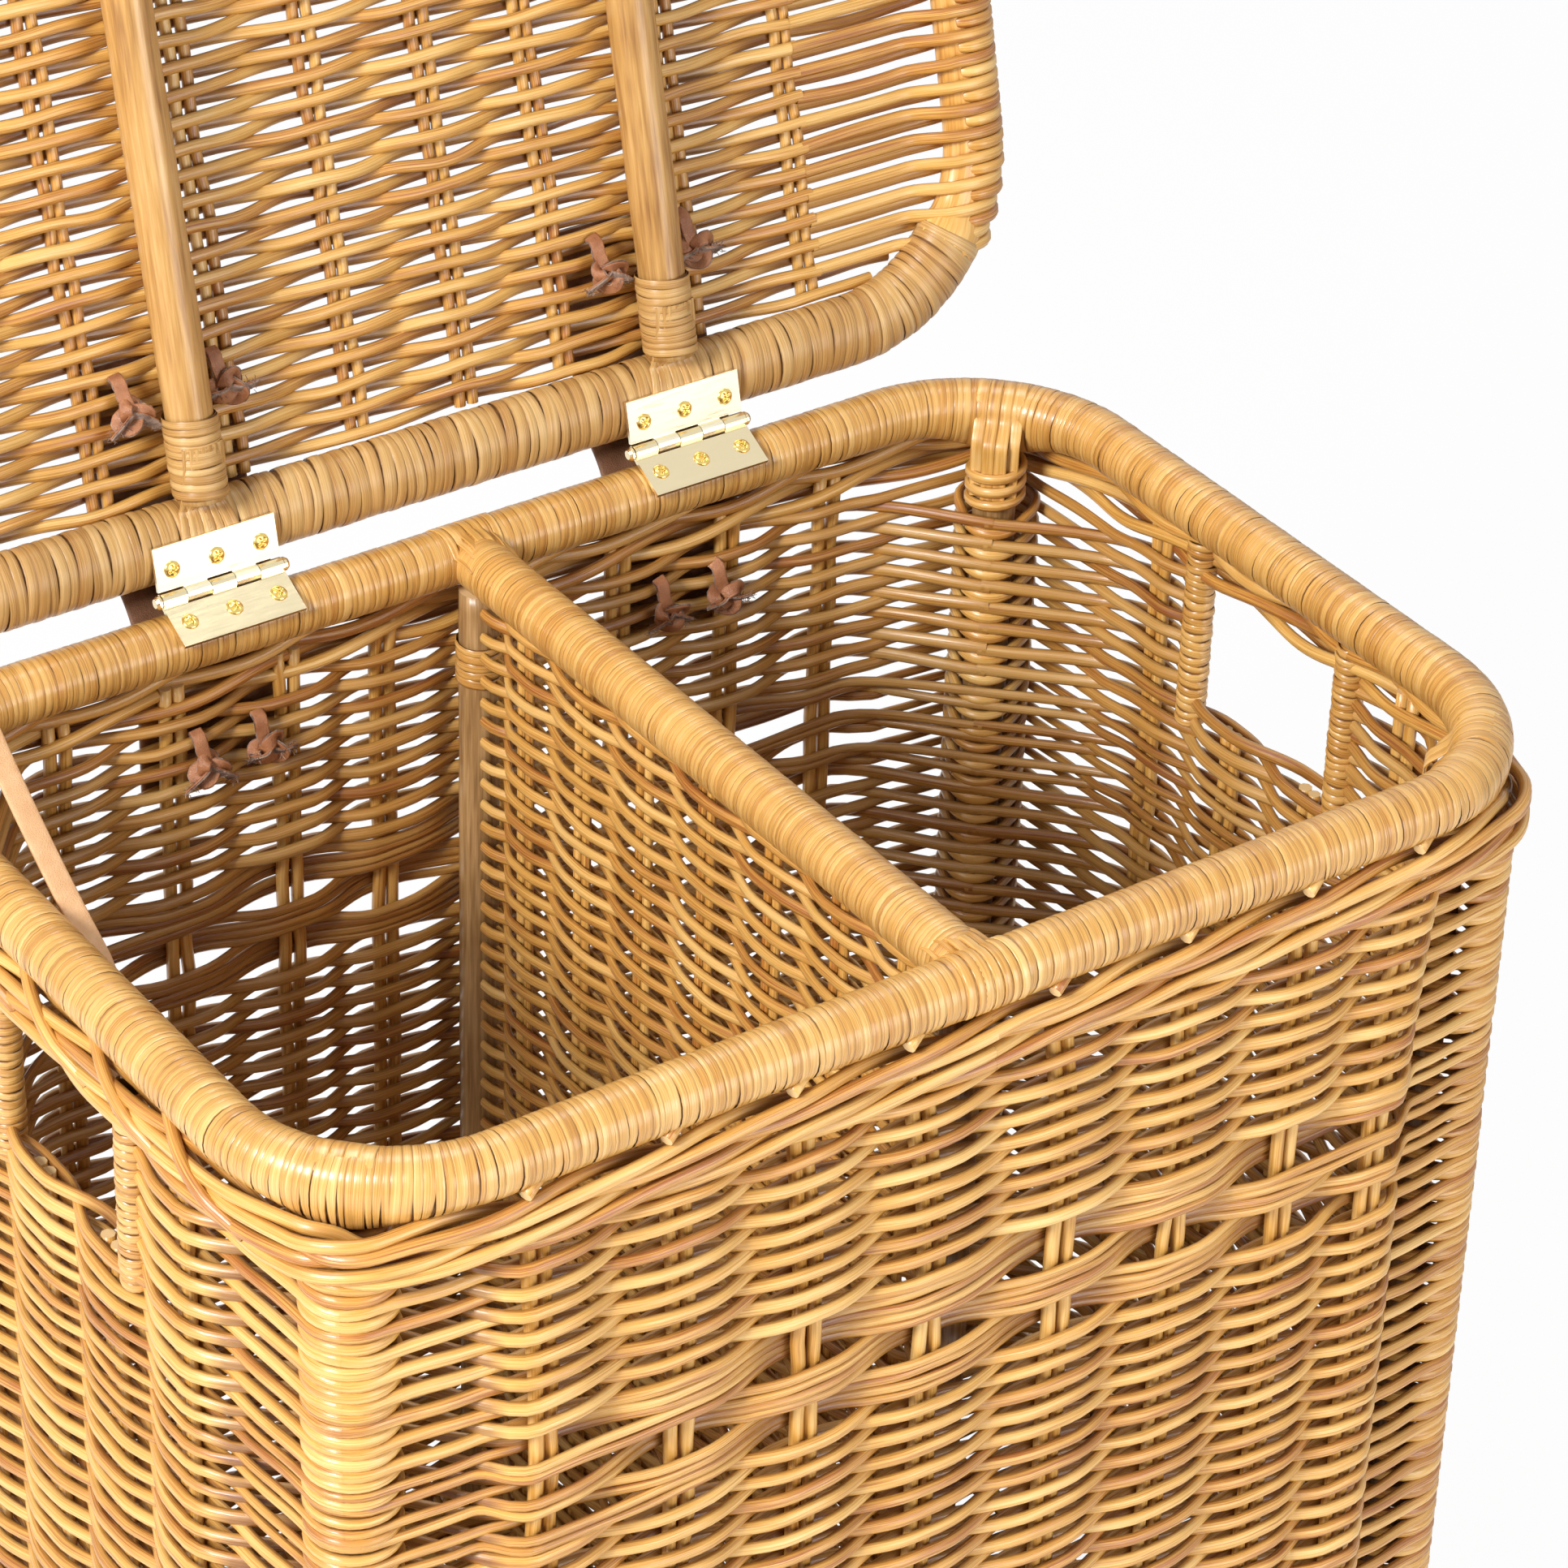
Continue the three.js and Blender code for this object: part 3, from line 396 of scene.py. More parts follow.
class StrandMesh:
    """Gathers rods, strips and sheets into one mesh.

    The UV map's u is the length along a strand in metres. Its v is the strand's own whole
    number plus the share of the way across or round the strand.
    """

    # Share of its whole number that a strand takes up in v, and size of a cut end in metres
    strand_share = 0.998
    end_size = 0.003

    def __init__(self, name: str, seed: int, placing: Placing = Placing()) -> None:
        """Starts an empty mesh with its own source of random numbers."""
        self.name = name
        self.rng = np.random.default_rng(seed)
        self.placing = placing
        self.points: list[Array] = []
        self.faces: list[Array] = []
        self.uvs: list[Array] = []
        self.stuffs: list[Array] = []
        self.shades: list[Array] = []
        self.count = 0
        self.strands = 0

    def sheets(
        self,
        grid: Array,
        u: Array,
        across: Array,
        closed: bool,
        stuff: Stuff = Stuff.STRAND,
        shade: Array | float = 0.0,
        number: Array | None = None,
    ) -> None:
        """Adds several sheets of quads at once.

        Args:
            grid: Points, sheets by steps by places across by three.
            u: Length along each sheet in millimetres, sheets by steps.
            across: Share of the way across at each place, with one more if closed.
            closed: True if the last place across meets the first.
            stuff: The material.
            shade: Painted shade at each point, from 0 to 1, as for lying deep in the weave.
            number: Whole number of each sheet; the next free ones if left out.
        """
        n, k, m = grid.shape[:3]
        number = self.strands + np.arange(n) if number is None else number
        i = np.arange(n)[:, None, None]
        j = np.arange(k - 1)[None, :, None]
        a = np.arange(m if closed else m - 1)[None, None, :]
        b = (a + 1) % m
        near, far = (i * k + j) * m, (i * k + j + 1) * m
        corner = [near + a, near + b, far + b, far + a]
        shape = np.broadcast_shapes(*[c.shape for c in corner])
        quads = np.stack([np.broadcast_to(c, shape) for c in corner], -1).reshape(-1, 4)
        v = number[:, None, None] + across[None, None, :] * self.strand_share
        start, stop = u[:, :-1, None] * MM, u[:, 1:, None] * MM
        low, high = v[:, :, :-1], v[:, :, 1:]
        pairs = [(start, low), (start, high), (stop, high), (stop, low)]
        uv = [np.stack([np.broadcast_to(x, shape), np.broadcast_to(y, shape)], -1) for x, y in pairs]
        self.put(grid.reshape(-1, 3), quads, np.stack(uv, -2).reshape(-1, 2), stuff)
        self.shades[-1] = np.broadcast_to(shade, (n, k, m)).ravel()
        self.strands += n

    def rods(
        self,
        path: Array,
        side: Array,
        half_width: Array | float,
        half_depth: Array | float,
        sides: int = 8,
        capped: bool = False,
        stuff: Stuff = Stuff.STRAND,
        square: float = 1.0,
        off: Array | None = None,
        least_shade: tuple[float, float] = (0.0, 0.0),
        number: Array | None = None,
        u: Array | None = None,
    ) -> None:
        """Adds oval rods: an ellipse carried along each path.

        The section is a superellipse: cosine and sine are raised to a power, which is 1 for
        an ellipse and near 0 for a rectangle.

        Args:
            path: Centre lines, rods by points by three.
            side: Direction of the oval's width, which need not be square to the path.
            half_width: Half the width, one value or rods by points.
            half_depth: Half the depth, one value or rods by points.
            sides: Points round the oval.
            capped: True to close both ends with the material of cut ends.
            stuff: The material.
            square: Power of the section's cosine and sine.
            off: Side of the weave that each rod is on, from -1 to 1; the faces that look
                across the weave from there are shaded.
            least_shade: Least shade of the faces that look out and of those that look in.
            number: Whole number of each rod; the next free ones if left out.
            u: Length along each rod, rods by points; measured if left out.
        """
        n, k = path.shape[:2]
        along = unit(np.gradient(path, axis=1))
        side = np.broadcast_to(side, path.shape)
        side = unit(side - (side * along).sum(-1, keepdims=True) * along)
        out = np.cross(along, side)
        angle = TURN * (np.arange(sides) + 0.5) / sides
        cosine, sine = (np.sign(f) * np.abs(f) ** square for f in (np.cos(angle), np.sin(angle)))
        wide = np.broadcast_to(half_width, (n, k))[..., None] * cosine
        deep = np.broadcast_to(half_depth, (n, k))[..., None] * sine
        grid = path[:, :, None] + wide[..., None] * side[:, :, None] + deep[..., None] * out[:, :, None]
        if u is None:
            step = np.linalg.norm(np.diff(path, axis=1), axis=-1)
            u = np.concatenate([np.zeros((n, 1)), np.cumsum(step, 1)], 1)
        base = self.count
        # Painted shade: at least a given share on each face, more where the rod lies behind the others
        least = np.where(np.sin(angle) > 0, least_shade[0], least_shade[1])
        shade = least if off is None else np.maximum(least, held(-off[..., None] * np.sin(angle)))
        self.sheets(grid, u, np.arange(sides + 1) / sides, True, stuff, shade, number)
        if capped:
            ring = np.arange(sides)
            first = base + np.arange(n)[:, None] * k * sides + ring[::-1]
            last = base + (np.arange(n)[:, None] * k + k - 1) * sides + ring
            caps = np.concatenate([first, last])
            disc = np.tile(np.stack([np.cos(angle), np.sin(angle)], -1) * self.end_size, (2 * n, 1))
            self.put(np.zeros((0, 3)), caps - self.count, disc, Stuff.CUT)

    def wrap(
        self,
        course: LoopCourse | LineCourse,
        winding: Winding,
        span: tuple[float, float] | None = None,
        parting: Array | None = None,
    ) -> None:
        """Winds flat strips of cane round a pole, each once round, over a plain core.

        A strip is domed across its width, leans by a share of its width on the way round,
        and stands a little higher or lower than its neighbours.

        Args:
            course: The pole's line.
            winding: Sizes of the strips.
            span: Start and length of the wound stretch; the whole course if left out.
            parting: Stations where strips part round something.
        """
        own, rng = winding, self.rng
        start, length = (0.0, course.length) if span is None else span
        edges = own.edges(rng, length, start)
        each = (len(edges) - 1, 1, 1)
        width = np.diff(edges)[:, None, None]
        share = np.linspace(0.0, 1.0, own.around + 1)[None, :, None]
        phi = math.radians(own.seam) + TURN * share
        low = held(np.cos(phi - math.radians(own.slit_angle))) ** 2
        cover = own.fill * rng.uniform(0.97, 1.05, each)
        cover = cover * (1 - own.slits * rng.uniform(0, 1, each) ** 2 * low) * width
        lean = own.slant * width + own.sway * rng.normal(size=each) * width
        phase = rng.uniform(0, TURN, each)
        s = edges[:-1, None, None] + STRIP_ACROSS * cover + (width - cover) / 2
        s = s + lean * (share - 0.5) + 0.16 * (1 - own.flat) * width * np.sin(phi * 2 + phase)
        if parting is not None:
            gap = s[..., None] - parting
            near = np.exp(-np.abs(gap) / own.part_reach) * np.sign(gap)
            turn = np.angle(np.exp(1j * (phi - math.radians(own.part_angle))))
            s = s + own.apart * near.sum(-1) * bell(turn, own.part_turn)
        dome = (own.flat + (1 - own.flat) * STRIP_DOME) * own.thick
        lift = own.thick * (rng.uniform(-0.3, 0.25, each) + 0.14 * np.sin(phi + phase))
        height = dome + (1 - 0.6 * own.flat) * lift - own.thick
        centre, out, up = course.frame(s)
        rise = (own.half_height + height) * np.sin(phi) - own.hang(course, s, phi)
        grid = centre + out * ((own.half_width + height) * np.cos(phi))[..., None] + up * rise[..., None]
        u = np.broadcast_to(phi[:, :, 0] * (own.half_width + own.half_height) / 2, grid.shape[:2])
        self.sheets(grid, u, STRIP_ACROSS, False, shade=(1 - 0.5 * own.flat) * STRIP_SHADE)
        self._core(course, own, edges[0], edges[-1])

    def _core(self, course: LoopCourse | LineCourse, own: Winding, start: float, end: float) -> None:
        """Adds the plain oval core under a winding, from a start to an end station."""
        s = np.linspace(start, end, max(3, int((end - start) / own.core_step) + 2))
        turn = TURN * np.arange(own.core_sides) / own.core_sides
        inset = own.thick + own.core_gap
        centre, out, up = (part[:, None] for part in course.frame(s))
        rise = (own.half_height - inset) * np.sin(turn) - own.hang(course, s[:, None], turn)
        reach = ((own.half_width - inset) * np.cos(turn))[None, :, None]
        grid = centre + out * reach + up * rise[..., None]
        across = np.arange(own.core_sides + 1) / own.core_sides
        self.sheets(grid[None, ::-1], s[None, ::-1], across, True, Stuff.CORE)

    def put(self, points: Array, faces: Array, uv: Array, stuff: Stuff) -> None:
        """Stores points, faces of one size counted from the points so far, and their UVs."""
        self.points.append(points)
        self.faces.append(faces + self.count)
        self.uvs.append(uv)
        self.stuffs.append(np.full(len(faces), stuff))
        self.shades.append(np.zeros(len(points)))
        self.count += len(points)

    def build(
        self, materials: list[Material], body: Body | None, slot: Slot, *nodes: str
    ) -> bpy.types.Object:
        """Writes the mesh as an object that rides on a body.

        Args:
            materials: Material of each number used by the faces.
            body: The body it rides on, or None if the caller settles that.
            slot: The record's material slot; not used.
            nodes: Solids that the piece stands for.

        Returns:
            The new object.
        """
        points = self.placing.apply(np.concatenate(self.points)) * MM
        sizes = np.concatenate([np.full(len(f), f.shape[1]) for f in self.faces])
        loops = np.concatenate([f.ravel() for f in self.faces])
        stuffs = np.concatenate(self.stuffs)
        mesh = bpy.data.meshes.new(self.name)
        mesh.vertices.add(len(points))
        mesh.vertices.foreach_set("co", points.astype(np.float32).ravel())
        mesh.loops.add(len(loops))
        mesh.loops.foreach_set("vertex_index", loops.astype(np.int32))
        mesh.polygons.add(len(sizes))
        mesh.polygons.foreach_set("loop_start", (np.cumsum(sizes) - sizes).astype(np.int32))
        mesh.polygons.foreach_set("material_index", stuffs.astype(np.int32))
        mesh.polygons.foreach_set("use_smooth", stuffs != Stuff.CUT)
        layer = mesh.uv_layers.new(name="strand")
        layer.data.foreach_set("uv", np.concatenate(self.uvs).astype(np.float32).ravel())
        shade = mesh.attributes.new("shade", "FLOAT", "POINT")
        shade.data.foreach_set("value", np.concatenate(self.shades).astype(np.float32))
        for material in materials:
            mesh.materials.append(material)
        mesh.update(calc_edges=True)
        mesh.validate()
        obj = placed(self.name, mesh)
        if nodes:
            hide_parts(*nodes)
        if body is not None:
            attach(obj, body.value)
        LOG.info("%s: %d faces", self.name, len(sizes))
        return obj


# Finishes


class Graph:
    """Adds nodes to one tree; an argument may be a socket or a plain value."""

    def __init__(self, tree: bpy.types.NodeTree) -> None:
        """Works on one node tree."""
        self.tree = tree

    def set(self, socket: Socket, value: object) -> None:
        """Links a socket to another, or writes a value into it."""
        if isinstance(value, Socket):
            self.tree.links.new(value, socket)
        elif value is not None:
            socket.default_value = value

    def node(
        self, kind: str, settings: dict[str, object] | None = None, **inputs: object
    ) -> bpy.types.Node:
        """A node with its settings and inputs, where _ in an input's name stands for a space."""
        node = self.tree.nodes.new(kind)
        for key, value in (settings or {}).items():
            setattr(node, key, value)
        for key, value in inputs.items():
            self.set(node.inputs[key.replace("_", " ")], value)
        return node

    def math(self, operation: str, a: object, b: object = None, c: object = None) -> Socket:
        """Result of one math node."""
        node = self.tree.nodes.new("ShaderNodeMath")
        node.operation = operation
        for socket, value in zip(node.inputs, (a, b, c)):
            self.set(socket, value)
        return node.outputs[0]

    def mix(self, share: object, a: object, b: object, blend: str = "MIX") -> Socket:
        """Colour between two others."""
        node = self.tree.nodes.new("ShaderNodeMix")
        node.data_type = "RGBA"
        node.blend_type = blend
        for index, value in ((0, share), (6, a), (7, b)):
            self.set(node.inputs[index], value)
        return node.outputs[2]

    def remap(
        self, value: object, low: float, high: float, first: float = 0.0, last: float = 1.0
    ) -> Socket:
        """A value carried from one range to another, held at the ends."""
        node = self.node("ShaderNodeMapRange", None, Value=value)
        for index, number in enumerate((low, high, first, last), 1):
            node.inputs[index].default_value = number
        return node.outputs[0]

    def noise(self, vector: object, scale: float, detail: float = 2.0, rough: float = 0.5) -> Socket:
        """Value of a noise texture."""
        settings = {"Vector": vector, "Scale": scale, "Detail": detail, "Roughness": rough}
        return self.node("ShaderNodeTexNoise", None, **settings).outputs[0]

    def vector(self, x: object, y: object, z: object) -> Socket:
        """A vector from three values."""
        return self.node("ShaderNodeCombineXYZ", None, X=x, Y=y, Z=z).outputs[0]

    def place(self, scale: Point = (1.0, 1.0, 1.0)) -> Socket:
        """Object coordinates, scaled along each axis."""
        at = self.node("ShaderNodeTexCoord").outputs["Object"]
        return self.node("ShaderNodeMapping", None, Vector=at, Scale=scale).outputs[0]

    def bump(self, shader: bpy.types.Node, height: object, strength: float, distance: float) -> None:
        """Gives a shader a relief."""
        node = self.node("ShaderNodeBump", None, Strength=strength, Distance=distance, Height=height)
        self.set(shader.inputs["Normal"], node.outputs[0])


def new_material(name: str) -> tuple[Material, Graph, bpy.types.Node]:
    """A material with its graph and its shader."""
    made = bpy.data.materials.new(name)
    made.use_nodes = True
    return made, Graph(made.node_tree), made.node_tree.nodes["Principled BSDF"]


def refinish(node: bpy.types.Object, material: Material) -> None:
    """Gives a solid that is shown as it is another material."""
    node.data.materials.clear()
    node.data.materials.append(material)
    LOG.info("%s: finish %s", node.name, material.name)


def new_group(
    name: str, inputs: dict[str, str], outputs: dict[str, str]
) -> tuple[Graph, dict[str, Socket], bpy.types.Node]:
    """A shader node group with its sockets.

    Args:
        name: Name of the group.
        inputs: Socket type by input name.
        outputs: Socket type by output name.

    Returns:
        The graph, the input sockets by name and the output node.
    """
    tree = bpy.data.node_groups.new(name, "ShaderNodeTree")
    for direction, sockets in (("INPUT", inputs), ("OUTPUT", outputs)):
        for key, kind in sockets.items():
            tree.interface.new_socket(key, in_out=direction, socket_type="NodeSocket" + kind)
    source = tree.nodes.new("NodeGroupInput")
    sink = tree.nodes.new("NodeGroupOutput")
    return Graph(tree), {key: source.outputs[key] for key in inputs}, sink


@dataclass(frozen=True)
class FibreNoise:
    """A noise on a strand: its scales round and along the strand, and its share in the tone."""

    across: float
    along: float
    weight: float
    detail: float = 2.0
    rough: float = 0.5

    def value(self, g: Graph, x: Socket, y: Socket, u: Socket, shift: Socket) -> Socket:
        """The noise at a place on the strand's cylinder, shifted along it."""
        around = [g.math("MULTIPLY", c, self.across) for c in (x, y)]
        along = g.math("MULTIPLY_ADD", u, self.along, shift)
        return g.noise(g.vector(*around, along), 1.0, self.detail, self.rough)


STREAKS = FibreNoise(1.0, 16.0, 0.66, 3.0, 0.6)
PATCHES = FibreNoise(0.16, 22.0, 0.34)
FINE_FIBRES = FibreNoise(3.1, 45.0, 0.3)
NOISE_RANGE = (0.3, 0.7)
WARM_TINT = (1.0, 0.78, 0.55, 1.0)
# Dark, red tint that painted shade multiplies into cane
PAINTED_SHADE_TINT = (0.34, 0.23, 0.17, 1.0)


def cane_group() -> bpy.types.NodeTree:
    """Colour, roughness and relief of cane from the strand UV map.

    Fibre streaks come from noise on a cylinder round the strand, stretched along it; each
    strand has its own tone, and slow patches run along it. Painted shade darkens what the
    shade attribute marks as lying in shade, deep in the weave or facing into the basket.
    """
    g, put, sink = new_group(
        "cane_strand",
        {
            **dict.fromkeys(("Light", "Honey", "Dark"), "Color"),
            **dict.fromkeys(("Fibres", "Variety", "Centre"), "Float"),
        },
        {"Color": "Color", "Roughness": "Float", "Height": "Float"},
    )
    uv = g.node("ShaderNodeUVMap", {"uv_map": "strand"}).outputs[0]
    parts = g.node("ShaderNodeSeparateXYZ", None, Vector=uv)
    u, v = parts.outputs[0], parts.outputs[1]
    number = g.math("FLOOR", v)
    angle = g.math("MULTIPLY", g.math("FRACT", v), TURN)
    first, second = (
        g.node("ShaderNodeTexWhiteNoise", {"noise_dimensions": "1D"}, W=w).outputs[0]
        for w in (number, g.math("ADD", number, 0.37))
    )
    x, y = (g.math("MULTIPLY", g.math(wave, angle), put["Fibres"]) for wave in ("COSINE", "SINE"))
    shift = g.math("MULTIPLY", first, 60.0)
    noises = [(kind.value(g, x, y, u, shift), kind.weight) for kind in (STREAKS, PATCHES, FINE_FIBRES)]
    streak, fine = noises[0][0], noises[2][0]
    own = g.math("MULTIPLY", g.math("SUBTRACT", first, 0.5), put["Variety"])
    tone = g.math("ADD", own, put["Centre"])
    for value, weight in noises:
        tone = g.math("MULTIPLY_ADD", g.remap(value, *NOISE_RANGE, -0.5, 0.5), weight, tone)
    colour = g.mix(g.remap(tone, 0.0, 0.5), put["Dark"], put["Honey"])
    colour = g.mix(g.remap(tone, 0.5, 1.0), colour, put["Light"])
    warm = g.mix(0.5, colour, WARM_TINT, "MULTIPLY")
    colour = g.mix(g.remap(second, 0.55, 1.0, 0.0, 0.5), colour, warm)
    # Painted shade: the shade attribute draws the colour towards the dark tint
    shade = g.node("ShaderNodeAttribute", {"attribute_name": "shade"}).outputs["Fac"]
    colour = g.mix(shade, colour, g.mix(1.0, colour, PAINTED_SHADE_TINT, "MULTIPLY"))
    g.set(sink.inputs["Color"], colour)
    g.set(sink.inputs["Roughness"], g.remap(streak, *NOISE_RANGE, 0.42, 0.3))
    g.set(sink.inputs["Height"], g.math("ADD", streak, g.math("MULTIPLY", fine, 0.5)))
    return g.tree


@dataclass(frozen=True)
class CaneFinish:
    """Varnished cane: three tones of honey, fibre streaks and a thin coat."""

    name: str
    light: Colour
    honey: Colour
    dark: Colour
    fibres: float = 3.0
    variety: float = 0.5
    centre: float = 0.52
    relief: float = 0.25
    coat: float = 0.25
    relief_depth: float = 0.0006
    coat_rough: float = 0.22

    def material(self, group: bpy.types.NodeTree) -> Material:
        """The material, with the shared cane group."""
        made, g, shader = new_material(self.name)
        cane = g.node("ShaderNodeGroup", {"node_tree": group})
        for key, colour in (("Light", self.light), ("Honey", self.honey), ("Dark", self.dark)):
            cane.inputs[key].default_value = (*colour, 1.0)
        for key, value in (("Fibres", self.fibres), ("Variety", self.variety), ("Centre", self.centre)):
            cane.inputs[key].default_value = value
        g.set(shader.inputs["Base Color"], cane.outputs["Color"])
        g.set(shader.inputs["Roughness"], cane.outputs["Roughness"])
        g.bump(shader, cane.outputs["Height"], self.relief, self.relief_depth)
        shader.inputs["Coat Weight"].default_value = self.coat
        shader.inputs["Coat Roughness"].default_value = self.coat_rough
        return made


@dataclass(frozen=True)
class PlainFinish:
    """One even colour, for cut ends and for the shaded cores under the wrapping."""

    name: str
    colour: Colour
    rough: float = 0.7

    def material(self) -> Material:
        """The material."""
        made, _, shader = new_material(self.name)
        shader.inputs["Base Color"].default_value = (*self.colour, 1.0)
        shader.inputs["Roughness"].default_value = self.rough
        return made


@dataclass(frozen=True)
class BrassFinish:
    """Polished pale brass with faint wipes."""

    name: str
    colour: Colour
    rough: float = 0.16
    wipes: Point = (60.0, 700.0, 700.0)

    def material(self) -> Material:
        """The material."""
        made, g, shader = new_material(self.name)
        wipes = g.noise(g.place(self.wipes), 1.0, 3.0)
        shader.inputs["Base Color"].default_value = (*self.colour, 1.0)
        shader.inputs["Metallic"].default_value = 1.0
        rough = g.remap(wipes, *NOISE_RANGE, self.rough * 0.8, self.rough * 1.3)
        g.set(shader.inputs["Roughness"], rough)
        return made


@dataclass(frozen=True)
class LeatherFinish:
    """Leather: a pebbled grain with worn lighter places."""

    name: str
    colour: Colour
    worn: Colour
    rough: float = 0.55
    pebbles: float = 900.0
    clouds: float = 120.0
    relief: float = 0.35
    relief_depth: float = 0.0004

    def material(self) -> Material:
        """The material."""
        made, g, shader = new_material(self.name)
        place = g.place()
        edges = {"feature": "DISTANCE_TO_EDGE"}
        cells = g.node("ShaderNodeTexVoronoi", edges, Vector=place, Scale=self.pebbles).outputs[0]
        cloud = g.noise(place, self.clouds, 4.0, 0.6)
        colour = g.mix(g.remap(cloud, 0.35, 0.7), (*self.colour, 1.0), (*self.worn, 1.0))
        g.set(shader.inputs["Base Color"], colour)
        shader.inputs["Roughness"].default_value = self.rough
        height = g.math("ADD", g.remap(cells, 0.0, 0.25), g.math("MULTIPLY", cloud, 0.6))
        g.bump(shader, height, self.relief, self.relief_depth)
        return made


@dataclass(frozen=True)
class WoodFinish:
    """Plain sawn wood with a grain along x."""

    name: str
    light: Colour
    dark: Colour
    grain: Point = (6.0, 210.0, 210.0)
    relief: float = 0.3
    relief_depth: float = 0.0005

    def material(self) -> Material:
        """The material."""
        made, g, shader = new_material(self.name)
        grain = g.noise(g.place(self.grain), 1.0, 4.0, 0.6)
        colour = g.mix(g.remap(grain, *NOISE_RANGE), (*self.dark, 1.0), (*self.light, 1.0))
        g.set(shader.inputs["Base Color"], colour)
        g.set(shader.inputs["Roughness"], g.remap(grain, *NOISE_RANGE, 0.7, 0.55))
        g.bump(shader, grain, self.relief, self.relief_depth)
        return made


class Palette:
    """All the finishes, made once."""

    def __init__(self) -> None:
        """Makes the materials."""
        cane = cane_group()
        tones = (0.86, 0.56, 0.20), (0.68, 0.36, 0.075), (0.36, 0.114, 0.022)
        weave = CaneFinish("weave", *tones, fibres=4.2, variety=0.55, centre=0.5, relief=0.5, coat=0.48)
        stake = CaneFinish("stake", *tones, fibres=2.4, variety=0.3, centre=0.62)
        tones = (0.84, 0.55, 0.21), (0.64, 0.34, 0.08), (0.34, 0.13, 0.02)
        wrap = CaneFinish("cane_wrap", *tones, fibres=1.8, variety=0.34, centre=0.5, coat=0.5)
        tones = (0.74, 0.50, 0.22), (0.56, 0.32, 0.10), (0.32, 0.14, 0.035)
        lid_wrap = CaneFinish("lid_wrap", *tones, fibres=2.4, variety=0.34, relief=0.35, coat=0.15)
        tones = (0.52, 0.32, 0.14), (0.33, 0.18, 0.065), (0.15, 0.07, 0.02)
        pole = CaneFinish("bare_pole", *tones, fibres=3.4, variety=0.2, centre=0.5, relief=0.35, coat=0.05)
        tones = (0.66, 0.42, 0.17), (0.50, 0.28, 0.085), (0.27, 0.12, 0.03)
        brace = CaneFinish("brace_pole", *tones, fibres=3.4, variety=0.2, centre=0.55, coat=0.2)
        self.weave, self.stake = weave.material(cane), stake.material(cane)
        self.wrap, self.lid_wrap = wrap.material(cane), lid_wrap.material(cane)
        self.pole, self.brace = pole.material(cane), brace.material(cane)
        self.pith = PlainFinish("cut_pith", (0.72, 0.50, 0.24)).material()
        self.core = PlainFinish("shaded_core", (0.20, 0.085, 0.02)).material()
        self.brass = BrassFinish("brass", (0.93, 0.80, 0.52), 0.2).material()
        # A paler copy of the brass for the lid's leaves, to paint in their bright reflection
        self.brass_with_painted_reflection = BrassFinish("brass_with_painted_reflection", (0.98, 0.91, 0.70), 0.32).material()
        self.screw = BrassFinish("screw_brass", (0.90, 0.66, 0.22), 0.2).material()
        self.batten = WoodFinish("batten_wood", (0.62, 0.42, 0.21), (0.40, 0.23, 0.09)).material()
        self.strap = LeatherFinish("strap_leather", (0.17, 0.075, 0.035), (0.27, 0.13, 0.07)).material()
        thong = LeatherFinish("thong_leather", (0.27, 0.095, 0.035), (0.46, 0.20, 0.09), 0.45)
        self.thong = thong.material()
        self.raw = LeatherFinish("raw_leather", (0.10, 0.055, 0.04), (0.46, 0.34, 0.27), 0.9).material()
        self.stay = LeatherFinish("stay_leather", (0.60, 0.33, 0.155), (0.68, 0.41, 0.21), 0.5).material()
        # Materials in the order of Stuff: of woven rods, of wound poles and of the lid's winding
        self.woven = [self.weave, self.pith, self.core]
        self.wound = [self.wrap, self.pith, self.core]
        self.lid_wound = [self.lid_wrap, self.pith, self.core]


# Sizes shared by the sub-assemblies


@dataclass(frozen=True)
class Sizes:
    """Sizes of the solids that the dressing follows."""

    rim: RoundedLoop = RoundedLoop(316.5, 203.0, 80.0)
    rim_z: float = 586.0
    rim_radius: float = 14.0
    wall_outset: float = 6.0
    wall_corner: float = 31.0
    wall_top: float = 545.4
    wall_bottom: float = 22.3
    sill: float = 481.4
    lid: RoundedLoop = RoundedLoop(316.5, 194.75, 85.0)
    lid_y: float = -215.75
    lid_z: float = 16.6
    lid_half_width: float = 18.0
    lid_half_height: float = 14.0
    lid_panel_z: float = 26.9
    lid_place: Placing = Placing(-103.5, 207.492, 606.920)
    brace_x: float = 127.0
    post_at: tuple[float, float] = (284.0, 170.5)
    post_radius: float = 11.0

    @property
    def wall(self) -> RoundedLoop:
        """Middle line of the woven walls, which turn more sharply than the rim."""
        grown = self.rim.grown(self.wall_outset)
        return RoundedLoop(grown.half_width, grown.half_depth, self.wall_corner)


SIZES = Sizes()


# Sub-assemblies


@dataclass(frozen=True)
class WallSide:
    """One side of the basket.

    Stakes are counted along the side's own axis, x or y, low down and at the rim.
    """

    name: str
    middle: float
    sense: int
    half: float
    stakes: tuple[float, ...]
    tops: tuple[float, ...]
    parity: int = 0
    handle: bool = False

    def stations(self, places: tuple[float, ...]) -> Array:
        """Stations along the loop of places along the side, in rising order."""
        return self.middle + np.array(places)[:: self.sense] * self.sense


